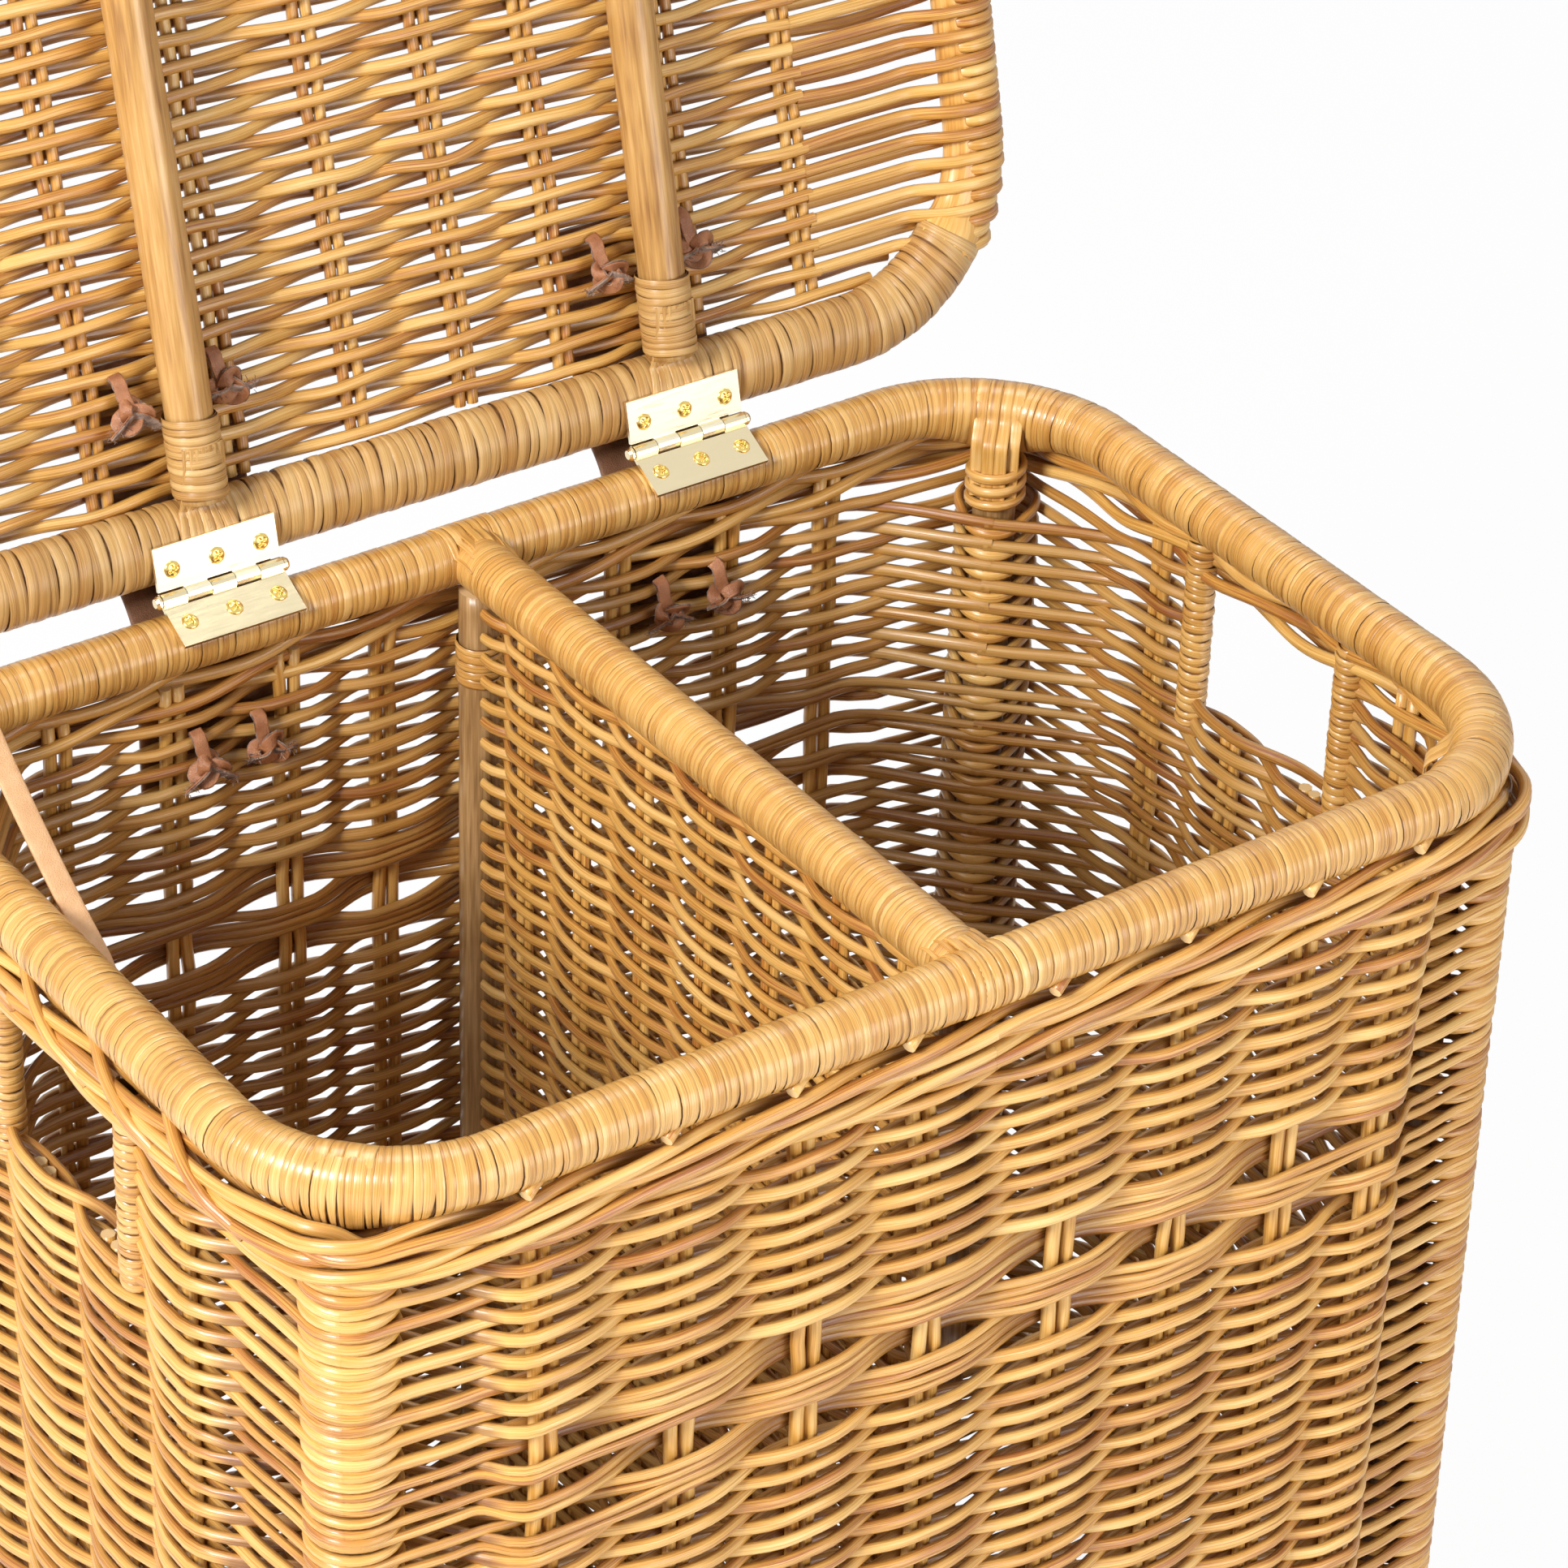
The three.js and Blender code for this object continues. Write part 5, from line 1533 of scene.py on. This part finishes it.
def woven_panel(
    mesh: StrandMesh,
    half_x: float,
    half_y: float,
    radius: float,
    y: float,
    z: float,
    thick: float,
    stakes: Array,
    pitch: float,
    looped: tuple[slice, slice] = (slice(0), slice(0)),
) -> None:
    """Adds a level woven panel with round corners: rods along x over pairs of stakes along y.

    Args:
        mesh: The mesh it goes to.
        half_x: Half the panel's size along x.
        half_y: Half the panel's size along y.
        radius: Radius of the corners.
        y: Middle of the panel along y.
        z: Middle of the panel's thickness.
        thick: The panel's thickness.
        stakes: Places of the stake pairs along x.
        pitch: Distance from row to row.
        looped: Rows that end past the outermost stake at low x, and at high x, because
            they go on as loops there.
    """
    place = row_places(half_y, pitch)
    rows = len(place)
    deep = np.clip(np.abs(place) - (half_y - radius), 0.0, radius)
    reach = half_x - radius + np.sqrt(radius**2 - deep**2)
    nodes = np.concatenate([[-half_x - 2.0], stakes, [half_x + 2.0]])
    swing, depth = thick / 2 - PANEL_ROD, PANEL_ROD
    values = swing * (-1.0) ** (np.arange(rows)[:, None] + np.arange(len(nodes))[None, :])
    values = values * mesh.rng.uniform(0.9, 1.05, values.shape)
    values[:, [0, -1]] = 0.0
    low, high = -reach, reach.copy()
    low[looped[0]] = stakes[0] - LOOP_START
    high[looped[1]] = stakes[-1] + LOOP_START
    s = low[:, None] + np.linspace(0.0, 1.0, 101) * (high - low)[:, None]
    off = weave_wave(s, nodes, values, np.full(len(nodes), 6.0))
    side = y + place[:, None] + Drift(14, rows).at(s, 0.5)
    half = pitch * 0.515 * (1 + 0.06 * mesh.rng.normal(size=(rows, 1)))
    mesh.rods(np.stack([s, side, z + off], -1), Y_AXIS, half, depth, off=off / swing)
    pairs = (stakes[:, None] + np.array([-3.5, 3.5])).ravel()
    over = np.clip(np.abs(pairs) - (half_x - radius), 0.0, radius)
    span = half_y - radius + np.sqrt(radius**2 - over**2)
    t = np.linspace(-1.0, 1.0, 36)[None, :] * span[:, None]
    x = pairs[:, None] + Drift(15, len(pairs)).at(t, 0.6)
    mesh.rods(np.stack([x, y + t, np.full_like(t, z)], -1), X_AXIS, 2.9, 2.3)


@dataclass
class Lid:
    """The lid: wound hoop, woven panel, two bare braces and the cane that binds them."""

    palette: Palette
    brace_z: float = 6.9
    brace_radius: float = 11.5
    brace_half: float = 176.45
    collar: float = 155.35
    collar_loops: int = 8
    collar_pitch: float = 4.7
    stakes: tuple[float, ...] = (-227.0, -167.7, -97.0, -33.0, 26.0, 80.0, 154.0, 219.0)
    pitch: float = 6.1
    thick: float = 13.0
    loop_reach: float = 163.0
    loop_depth: float = 2.1
    side_pole: tuple[float, float] = (14.0, 9.6)
    side_z: float = 18.4
    plug: tuple[float, float] = (17.7, 13.7)
    loop_bend: float = 0.7

    def build(self) -> None:
        """Builds the hoop, the panel and the braces in the lid's own axes."""
        place = SIZES.lid_place
        self._hoop(place)
        mesh = StrandMesh("lid_weave", 151, place)
        inner = SIZES.lid.grown(-SIZES.lid_half_width)
        half_x, half_y = inner.half_width + 3.0, inner.half_depth + 1.0
        rows = row_places(half_y, self.pitch)
        near = np.flatnonzero(np.abs(rows) < self.loop_reach)
        first, last = near[0] + near[0] % 2, near[-1] - (near[-1] + 1) % 2
        looped = slice(first + 1, last), slice(first, last + 1)
        stakes = np.array(self.stakes)
        level = SIZES.lid_y, SIZES.lid_panel_z
        woven_panel(mesh, half_x, half_y, inner.radius, *level, self.thick, stakes, self.pitch, looped)
        for sign, part in zip((-1.0, 1.0), looped):
            self._loops(mesh, sign, rows[part])
        mesh.build(self.palette.woven, Body.LID, Slot.WEAVE, "lid_panel")
        self._braces(place)

    def _hoop(self, place: Placing) -> None:
        """Winds the hoop along the lid's front and back and into its corners; the sides are bare."""
        loop = SIZES.lid
        w, d = loop.straight
        half = w + loop.corner - loop.radius * math.asin((self.loop_reach - d) / loop.radius)
        course = LoopCourse(loop, SIZES.lid_z, SIZES.lid_y)
        mesh = StrandMesh("lid_hoop_wrap", 150, place)
        poles = StrandMesh("lid_side_poles", 154, place)
        oval = SIZES.lid_half_width, SIZES.lid_half_height
        winding = Winding(*oval, (4.2, 7.2), 0.5, 0.8, 1.04, 24, 0.15, 0.4, 140.0)
        for middle in (0.0, loop.total / 2):
            mesh.wrap(course, winding, (middle - half, 2 * half))
            s = np.linspace(middle + half - 8.0, middle + loop.total / 2 - half + 8.0, 60)
            centre, out, _ = course.frame(s)
            bent = held(np.minimum(s - s[0], s[-1] - s) / 60.0)
            plug = held((20.0 - np.minimum(s - s[0], s[-1] - s)) / 10.0)[None]
            wide, high = (own + (most - own) * plug for own, most in zip(self.side_pole, self.plug))
            path = raised(centre, (self.side_z - SIZES.lid_z) * bent)[None]
            poles.rods(path, out[None], wide, high, 16, True)
        mesh.build(self.palette.lid_wound, Body.LID, Slot.CANE, "lid_hoop")
        poles.build(self.palette.woven, Body.LID, Slot.POLE)

    def _loops(self, mesh: StrandMesh, sign: float, rows: Array) -> None:
        """Adds the loops of one side: rows two by two, joined round the side pole.

        A rod leaves the outermost stake above the panel, follows the pole's oval over its top,
        round its outer side and under it, moving to the next row on the way, and goes back to
        the stake below the panel. A short rod fills each gap between loops on the outer side.

        Args:
            mesh: The mesh they go to.
            sign: 1 for the side at high x, -1 for the other.
            rows: Places of the rows along y, an even number of them.
        """
        loop = SIZES.lid
        w, d = loop.straight
        upper, lower = rows[0::2, None], rows[1::2, None]
        deep = np.clip(np.abs((upper + lower) / 2) - d, 0.0, None)
        slope = np.arcsin(deep / loop.radius)
        middle = w + loop.radius * np.cos(slope)
        half_x = self.side_pole[0] / np.cos(slope) + self.loop_depth
        half_z = np.full_like(half_x, self.side_pole[1] + self.loop_depth)
        turn = np.radians(np.linspace(122.0, -122.0, 21))[None, :]
        x, z = middle + half_x * np.cos(turn), self.side_z + half_z * np.sin(turn)
        share = held(0.5 - np.degrees(turn) / 110.0)
        y = upper + (lower - upper) * eased(share)
        stake = abs(self.stakes[-1] if sign > 0 else self.stakes[0]) + LOOP_START - 3.0
        swing = self.thick / 2 - PANEL_ROD
        ease = np.linspace(0.0, 1.0, 17)[None, :-1]
        smooth = half_wave(held((ease - self.loop_bend) / (1 - self.loop_bend)))
        start_x = stake + (x[:, :1] - stake) * ease
        start_z = SIZES.lid_panel_z + swing + (z[:, :1] - SIZES.lid_panel_z - swing) * smooth
        end_z = SIZES.lid_panel_z - swing + (z[:, -1:] - SIZES.lid_panel_z + swing) * smooth
        stray = mesh.rng.normal(0.0, 0.7, (2, len(upper), 1)) + np.array([[[1.0]], [[0.0]]])
        wander = np.sin(math.pi * ease) * stray
        path_x = np.concatenate([start_x, x, start_x[:, ::-1]], 1)
        path_y = np.concatenate([upper + wander[0], y, lower + wander[1][:, ::-1]], 1) + SIZES.lid_y
        path_z = np.concatenate([start_z, z, end_z[:, ::-1]], 1)
        half = self.pitch * 0.52 * mesh.rng.uniform(0.95, 1.04, (len(upper), 1))
        mesh.rods(np.stack([sign * path_x, path_y, path_z], -1), Y_AXIS, half, self.loop_depth)
        turn = np.radians(np.linspace(100.0, -116.0, 19))[None, :]
        tuck = 3.4 * np.abs(np.linspace(-1.0, 1.0, 19)) ** 7
        x, z = middle + (half_x - tuck) * np.cos(turn), self.side_z + (half_z - tuck) * np.sin(turn)
        share = held(0.5 - np.degrees(turn) / 110.0)
        y = upper + (lower - upper) * (1.0 + eased(share)) + SIZES.lid_y
        mesh.rods(np.stack([sign * x, y, z], -1), Y_AXIS, half * 0.96, self.loop_depth)

    def _braces(self, place: Placing) -> None:
        """Builds the bare braces and their wound collars."""
        mesh = StrandMesh("lid_braces", 152, place)
        y = SIZES.lid_y + np.linspace(-self.brace_half, self.brace_half, 60)
        at_x, at_y = np.meshgrid([-SIZES.brace_x, SIZES.brace_x], y, indexing="ij")
        path = np.stack([at_x, at_y, np.full_like(at_x, self.brace_z)], -1)
        size = self.brace_radius - 0.2 + Drift(16, 2).at(y, 0.1)
        mesh.rods(path, X_AXIS, size, size, 18, True)
        names = ["lid_brace_left", "lid_brace_right"]
        mesh.build([self.palette.brace, self.palette.pith], Body.LID, Slot.POLE, *names)
        mesh = StrandMesh("brace_collars", 153, place)
        names = []
        half = self.collar_loops * self.collar_pitch / 2
        bound = self.brace_radius + 1.6
        winding = Winding(bound, bound, (2.9, 4.1), 1.0, 0.8, 1.02, 22, 0.05, 0.5, 90.0)
        for side, x in (("left", -SIZES.brace_x), ("right", SIZES.brace_x)):
            for end, sign in (("front", -1.0), ("back", 1.0)):
                middle = SIZES.lid_y + sign * self.collar
                course = LineCourse((x, middle - half, self.brace_z), (x, middle + half, self.brace_z))
                mesh.wrap(course, winding, (0.0, 2 * half))
                names.append(f"brace_binding_{side}_{end}")
        self._fans(mesh)
        mesh.build(self.palette.lid_wound, Body.LID, Slot.CANE, *names)

    def _fans(self, mesh: StrandMesh) -> None:
        """Adds the strips that fan out from the end of each brace over the hoop.

        A strip leaves the brace's lower side, spreads sideways as it goes, and follows the
        hoop's oval from its inner side, under it, to its outer side.
        """
        across = np.linspace(-1.0, 1.0, 8)[:, None] + mesh.rng.normal(0, 0.03, (8, 1))
        half_width, half_height = SIZES.lid_half_width + 0.5, SIZES.lid_half_height + 0.5
        turn = np.radians(np.linspace(-140.0, 8.0, 14))[None, :]
        share = np.linspace(0.0, 1.0, 18)[None, :]
        for side in (-SIZES.brace_x, SIZES.brace_x):
            for sign in (-1.0, 1.0):
                near = np.linspace(-46.0, half_width * math.cos(turn[0, 0]) - 2.0, 4)[None, :]
                far = np.concatenate([near, half_width * np.cos(turn)], 1)
                low = self.brace_z - np.sqrt((self.brace_radius + 1.0) ** 2 - (8.5 * across) ** 2)
                first = np.linspace(0.0, 1.0, 4)[None, :]
                oval = SIZES.lid_z + half_height * np.sin(turn)
                leave = low + (oval[:, :1] - low) * first**2 * 0.9
                z = np.concatenate([leave, np.broadcast_to(oval, (8, 14))], 1)
                x = side + across * (8.5 + 13.0 * share**1.4)
                y = SIZES.lid_y + sign * (SIZES.lid.half_depth + np.broadcast_to(far, z.shape))
                path = np.stack([x, y, z], -1)
                mesh.rods(path, X_AXIS, 2.0 + 0.6 * share, 0.6, 8, square=0.6)


@dataclass
class Fittings:
    """Brass hinges with their screws, and the leather straps, stay and knots."""

    palette: Palette
    screw_pitch: float = 23.0
    setback: float = 13.5
    leaf_face: float = 0.5
    leaf_tilt: float = 27.0
    head_radius: float = 3.9
    head_rise: float = 1.5
    recess: tuple[float, float, float] = (2.5, 0.62, 1.5)
    strap_half: tuple[float, float] = (38.0, 1.5)
    strap_route: tuple[tuple[float, float], ...] = (
        (220.3, 494.0),
        (220.3, 548.0),
        (220.3, 580.0),
        (225.0, 592.0),
        (239.0, 605.0),
        (247.0, 620.0),
        (254.4, 651.0),
        (266.0, 699.8),
    )
    stay_half: tuple[float, float] = (5.4, 1.1)
    stay_foot: tuple[tuple[float, float, float], ...] = ((-312.5, -26.0, 548.0), (-300.5, -8.0, 561.0))
    stay_low: tuple[float, float, float] = (-297.0, 12.0, 576.0)
    stay_high: tuple[float, float, float] = (-291.1, 296.6, 892.0)
    stay_sag: float = 40.0
    stay_hold: int = 16
    wall_knot: tuple[float, float, float] = (16.0, 197.2, 519.0)
    lid_knot: tuple[float, float, float] = (24.5, -84.0, 15.6)

    def build(self) -> None:
        """Finishes the hinges, then builds the screws and the leather."""
        for name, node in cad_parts.items():
            if name.endswith("_leaf") or name.endswith("_pin"):
                # Leaves and pins on the lid take the paler brass as painted reflection
                brass = self.palette.brass_with_painted_reflection if "_upper_" in name else self.palette.brass
                refinish(node, brass)
        self._screws()
        self._straps()
        self._stay()
        self._knots()

    def _screws(self) -> None:
        """Builds the screws of the leaves on the rim, then those of the leaves on the lid."""
        x = np.array([side * SIZES.brace_x + k * self.screw_pitch for side in (-1, 1) for k in (-1, 0, 1)])
        tilt = math.radians(self.leaf_tilt)
        down = np.array([0.0, -math.cos(tilt), -math.sin(tilt)])
        face = np.array([0.0, -math.sin(tilt), math.cos(tilt)])
        hinge = np.array([0.0, SIZES.lid_place.y, SIZES.lid_place.z])
        lower = hinge + self.setback * down - self.leaf_face * face
        upper = np.array([0.0, -self.setback, self.leaf_face])
        for leaf, body, middle, facing, place in (
            ("lower", Body.BASKET, lower, face, Placing()),
            ("upper", Body.LID, upper, -UP, SIZES.lid_place),
        ):
            mesh = StrandMesh(f"hinge_screws_{leaf}", 160, place)
            self._heads(mesh, middle + x[:, None] * X_AXIS, facing)
            names = [f"hinge_{side}_{leaf}_screw_{k}" for side in ("left", "right") for k in (1, 2, 3)]
            mesh.build([self.palette.screw, self.palette.screw], body, Slot.BRASS, *names)

    def _heads(self, mesh: StrandMesh, middles: Array, facing: Array) -> None:
        """Adds raised screw heads with a cross recess.

        Each head is a grid of rings and angles. Its height is a round cap less the deeper of
        two crossed slots, which fade out at their sides and ends.
        """
        count = len(middles)
        radius = np.append(self.head_radius, self.head_radius * np.linspace(1.0, 0.05, 16))[:, None]
        angle = TURN * np.arange(48)[None, :] / 48
        x, y = radius * np.cos(angle), radius * np.sin(angle)
        length, width, depth = self.recess
        slots = [
            held((length - abs(p)) / 0.5) * held((width - abs(q)) / 0.25 + 0.5)
            for p, q in ((x, y), (y, x))
        ]
        cap = self.head_rise * np.sqrt(held(1.0 - (0.97 * radius / self.head_radius) ** 2))
        height = cap - depth * np.maximum(*slots)
        height[0] = -0.6
        turn = mesh.rng.uniform(0.0, TURN, (count, 1, 1))
        across = X_AXIS
        level = np.cross(facing, across)
        first = np.cos(turn) * x - np.sin(turn) * y
        second = np.sin(turn) * x + np.cos(turn) * y
        level_part = first[..., None] * across + second[..., None] * level
        grid = middles[:, None, None] + level_part + height[..., None] * facing
        base = mesh.count
        rings = len(radius)
        mesh.sheets(grid, np.broadcast_to(radius[::-1, 0], (count, rings)), np.arange(49) / 48, True)
        last = base + (np.arange(count)[:, None] * rings + rings - 1) * 48 + np.arange(48)
        mesh.put(np.zeros((0, 3)), last - mesh.count, np.zeros((last.size, 2)), Stuff.STRAND)

    def _straps(self) -> None:
        """Builds the wide straps behind the hinges."""
        route = np.array([(0.0, y, z) for y, z in self.strap_route])
        for side, sign in (("left", -1.0), ("right", 1.0)):
            mesh = StrandMesh(f"strap_{side}", 161)
            path = rounded(route + np.array([sign * SIZES.brace_x, 0.0, 0.0]))[None]
            mesh.rods(path, X_AXIS, *self.strap_half, 20, True, square=0.3)
            leather = [self.palette.strap, self.palette.raw]
            strap = mesh.build(leather, None, Slot.STRAP, f"hinge_strap_{side}")
            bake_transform(strap)

    def _stay(self) -> None:
        """Builds the narrow stay from the left wall to the lid.

        Its free stretch hangs in a parabola below the line between its ends.
        """
        mesh = StrandMesh("stay_band", 162)
        low, high = np.array(self.stay_low), np.array(self.stay_high)
        t = np.linspace(0.0, 1.0, 40)[:, None]
        down = unit(np.cross(high - low, X_AXIS))
        free = low + (high - low) * t + 4 * self.stay_sag * t * (1 - t) * down
        path = rounded(np.concatenate([np.array(self.stay_foot), free]), 2)[None]
        mesh.rods(path, X_AXIS, *self.stay_half, 12, True, square=0.35)
        stay = mesh.build([self.palette.stay, self.palette.raw], None, Slot.STAY, "lid_stay")
        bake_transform(stay)

    def _knots(self) -> None:
        """Builds the knotted thongs of the straps on the back wall, then on the lid."""
        x = X_AXIS
        for name, body, knot, up, out, place in (
            ("wall", Body.BASKET, self.wall_knot, UP, np.array([0.0, -1.0, 0.0]), Placing()),
            ("lid", Body.LID, self.lid_knot, np.array([0.0, -1.0, 0.0]), -UP, SIZES.lid_place),
        ):
            mesh = StrandMesh(f"{name}_knots", 163, place)
            names = []
            for side, sign in (("left", -1.0), ("right", 1.0)):
                for which, step in (("outer", 1.0), ("inner", -1.0)):
                    middle = np.array([sign * (SIZES.brace_x + step * knot[0]), knot[1], knot[2]])
                    self._knot(mesh, middle, np.stack([x, up, out]))
                    names.append(f"{name}_tie_{side}_{which}")
            mesh.build([self.palette.thong, self.palette.raw], body, Slot.STRAP, *names)

    def _knot(self, mesh: StrandMesh, middle: Array, axes: Array) -> None:
        """Adds one knot of a flat thong.

        The knot is a trefoil, a sum of two sines in each direction, of a band that rocks from
        side to side as it goes round. The thong comes out of the weave above it, two ragged
        ends stick out of it, and fibres stand off the ends' edges.
        """
        rng = mesh.rng
        t = TURN * np.linspace(0.0, 1.0, 61)
        spin = rng.uniform(0.0, TURN)
        plan = np.stack([np.sin(t) + 2 * np.sin(2 * t), np.cos(t) - 2 * np.cos(2 * t)], -1)
        plan = plan * rng.uniform(2.6, 3.0)
        turned = plan @ np.array([[math.cos(spin), -math.sin(spin)], [math.sin(spin), math.cos(spin)]])
        loop = np.concatenate([turned * np.array([1.0, 0.85]), 2.0 - 2.4 * np.sin(3 * t)[:, None]], -1)
        self._band(mesh, middle + loop @ axes, axes[2], 0.9 * np.sin(2 * t + spin), 3.1)
        bend = rng.normal(0.0, 0.8, 4)
        top, neck = (-3.0 + bend[0], 18.0, -5.0), (-2.5 + bend[1], 9.0, 1.0)
        thong = np.array([top, (-3.0, 16.5, -0.5), neck, (0.0, 1.0, 1.5)])
        self._band(mesh, middle + rounded(thong) @ axes, axes[2], 0.15, 3.2)
        for sign in (-1.0, 1.0):
            reach = rng.uniform(9.5, 13.0)
            tip = (sign * reach, -5.0 + 3.5 * bend[2], 2.8 + bend[3])
            tail = np.array([(0.0, 0.0, 2.5), (sign * 4.0, -1.5, 4.6), tip])
            line = middle + rounded(tail) @ axes
            self._band(mesh, line, axes[2], 0.9 * sign, 3.0, -1.0)
            self._fibres(mesh, line[len(line) // 2 :], axes)

    def _band(
        self, mesh: StrandMesh, line: Array, out: Array, tilt: Array | float, half: float, up: float = 1.0
    ) -> None:
        """Adds a flat band along a line, tilted about the line, with a smooth and a raw side."""
        along = unit(np.gradient(line, axis=0))
        tilt = np.broadcast_to(tilt, (len(line),))[:, None]
        side = np.cos(tilt) * unit(np.cross(out, along)) + np.sin(tilt) * out
        above = unit(np.cross(along, side))
        above = up * above * np.sign((above * out).sum(-1, keepdims=True))
        ragged = half * (1.08 + 0.05 * mesh.rng.normal(size=(1, len(line))))
        mesh.rods((line + 0.4 * above)[None], side[None], half, 0.5, 10, True, square=0.45)
        mesh.rods((line - 0.4 * above)[None], side[None], ragged, 0.55, 10, True, Stuff.CUT, square=0.45)

    def _fibres(self, mesh: StrandMesh, line: Array, axes: Array) -> None:
        """Adds short curved fibres that stand off a line in random directions."""
        count = 40
        root = line[mesh.rng.integers(0, len(line), count)] + mesh.rng.normal(0, 1.0, (count, 3))
        away = unit(mesh.rng.normal(size=(count, 3)) + 0.4 * axes[2])
        away = away * mesh.rng.uniform(1.5, 3.4, (count, 1))
        curl = mesh.rng.normal(0, 0.5, (count, 3))
        t = np.linspace(0.0, 1.0, 4)[None, :, None]
        path = root[:, None] + away[:, None] * t + curl[:, None] * t * t
        mesh.rods(path, np.array([0.3, 0.5, 0.8]), 0.16, 0.16, 3, False, Stuff.CUT)


@dataclass
class Studio:
    """Camera, soft lights, a pale floor and a white surround."""

    camera_at: tuple[float, float, float] = (-1.20359, -1.73852, 1.96019)
    turn: tuple[float, float, float] = (2.08340747, -0.62994870, 0.37801206)
    lens: float = 131.35

    def build(self) -> None:
        """Builds the camera, the lights, the floor and the world."""
        self._camera()
        self._floor()
        self._world()
        self._lights()

    def _camera(self) -> None:
        """Places the camera; turn is the photograph's view as an axis times an angle."""
        axis = Vector(self.turn)
        rows = Matrix.Rotation(axis.length, 3, axis)
        matrix = Matrix((rows[0], -rows[1], -rows[2])).transposed().to_4x4()
        matrix.translation = Vector(self.camera_at)
        data = bpy.data.cameras.new("camera")
        data.lens = self.lens
        data.sensor_width = 36.0
        data.clip_end = 50.0
        camera = placed("camera", data)
        camera.matrix_world = matrix
        bpy.context.scene.camera = camera

    def _floor(self) -> None:
        """Lays a pale floor that the camera sees as nearly white, with a faint trace of its shadows."""
        mesh = bpy.data.meshes.new("floor")
        mesh.from_pydata([(-14, -14, 0), (14, -14, 0), (14, 14, 0), (-14, 14, 0)], [], [(0, 1, 2, 3)])
        made, g, shader = new_material("floor")
        shader.inputs["Base Color"].default_value = (0.9, 0.9, 0.9, 1.0)
        shader.inputs["Roughness"].default_value = 0.9
        glow = g.node("ShaderNodeEmission", None, Color=(1.0, 1.0, 1.0, 1.0), Strength=1.0)
        share = g.math("MULTIPLY", g.node("ShaderNodeLightPath").outputs["Is Camera Ray"], 0.96)
        blend = g.node("ShaderNodeMixShader")
        g.set(blend.inputs[0], share)
        g.set(blend.inputs[1], shader.outputs[0])
        g.set(blend.inputs[2], glow.outputs[0])
        g.set(made.node_tree.nodes["Material Output"].inputs["Surface"], blend.outputs[0])
        mesh.materials.append(made)
        placed("floor", mesh)

    def _world(self) -> None:
        """Sets a soft surround that the camera sees as white."""
        world = bpy.data.worlds.new("surround")
        world.use_nodes = True
        g = Graph(world.node_tree)
        path = g.node("ShaderNodeLightPath").outputs
        seen = g.math("MAXIMUM", path["Is Camera Ray"], g.math("MULTIPLY", path["Is Glossy Ray"], 0.8))
        back = world.node_tree.nodes["Background"]
        g.set(back.inputs["Strength"], g.remap(seen, 0.0, 1.0, 0.21, 1.0))
        back.inputs["Color"].default_value = (1.0, 1.0, 1.0, 1.0)
        bpy.context.scene.world = world

    def _lights(self) -> None:
        """Hangs a large key over the left shoulder, a fill on the right and a rim light behind."""
        for name, place, size, power in (
            ("key", (-2.9, -0.8, 2.5), 1.1, 165.0),
            ("fill", (0.9, -3.3, 1.1), 2.2, 62.0),
            ("top", (0.3, 0.9, 3.2), 1.4, 30.0),
        ):
            data = bpy.data.lights.new(name, "AREA")
            data.shape = "DISK"
            data.size = size
            data.energy = power
            lamp = placed(name, data)
            lamp.location = place
            aim = Vector((0.0, 0.0, 0.5)) - Vector(place)
            lamp.rotation_euler = aim.to_track_quat("-Z", "Y").to_euler()


def main() -> None:
    """Builds the hamper piece by piece, then the studio."""
    logging.basicConfig(level=logging.INFO, format="%(name)s: %(message)s")
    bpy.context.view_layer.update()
    palette = Palette()
    walls = Walls(palette)
    walls.build()
    Border(palette, walls).build()
    Frame(palette).build()
    Lid(palette).build()
    Fittings(palette).build()
    Studio().build()
    bpy.context.scene.view_settings.view_transform = "Standard"


if __name__ == "__main__":
    main()
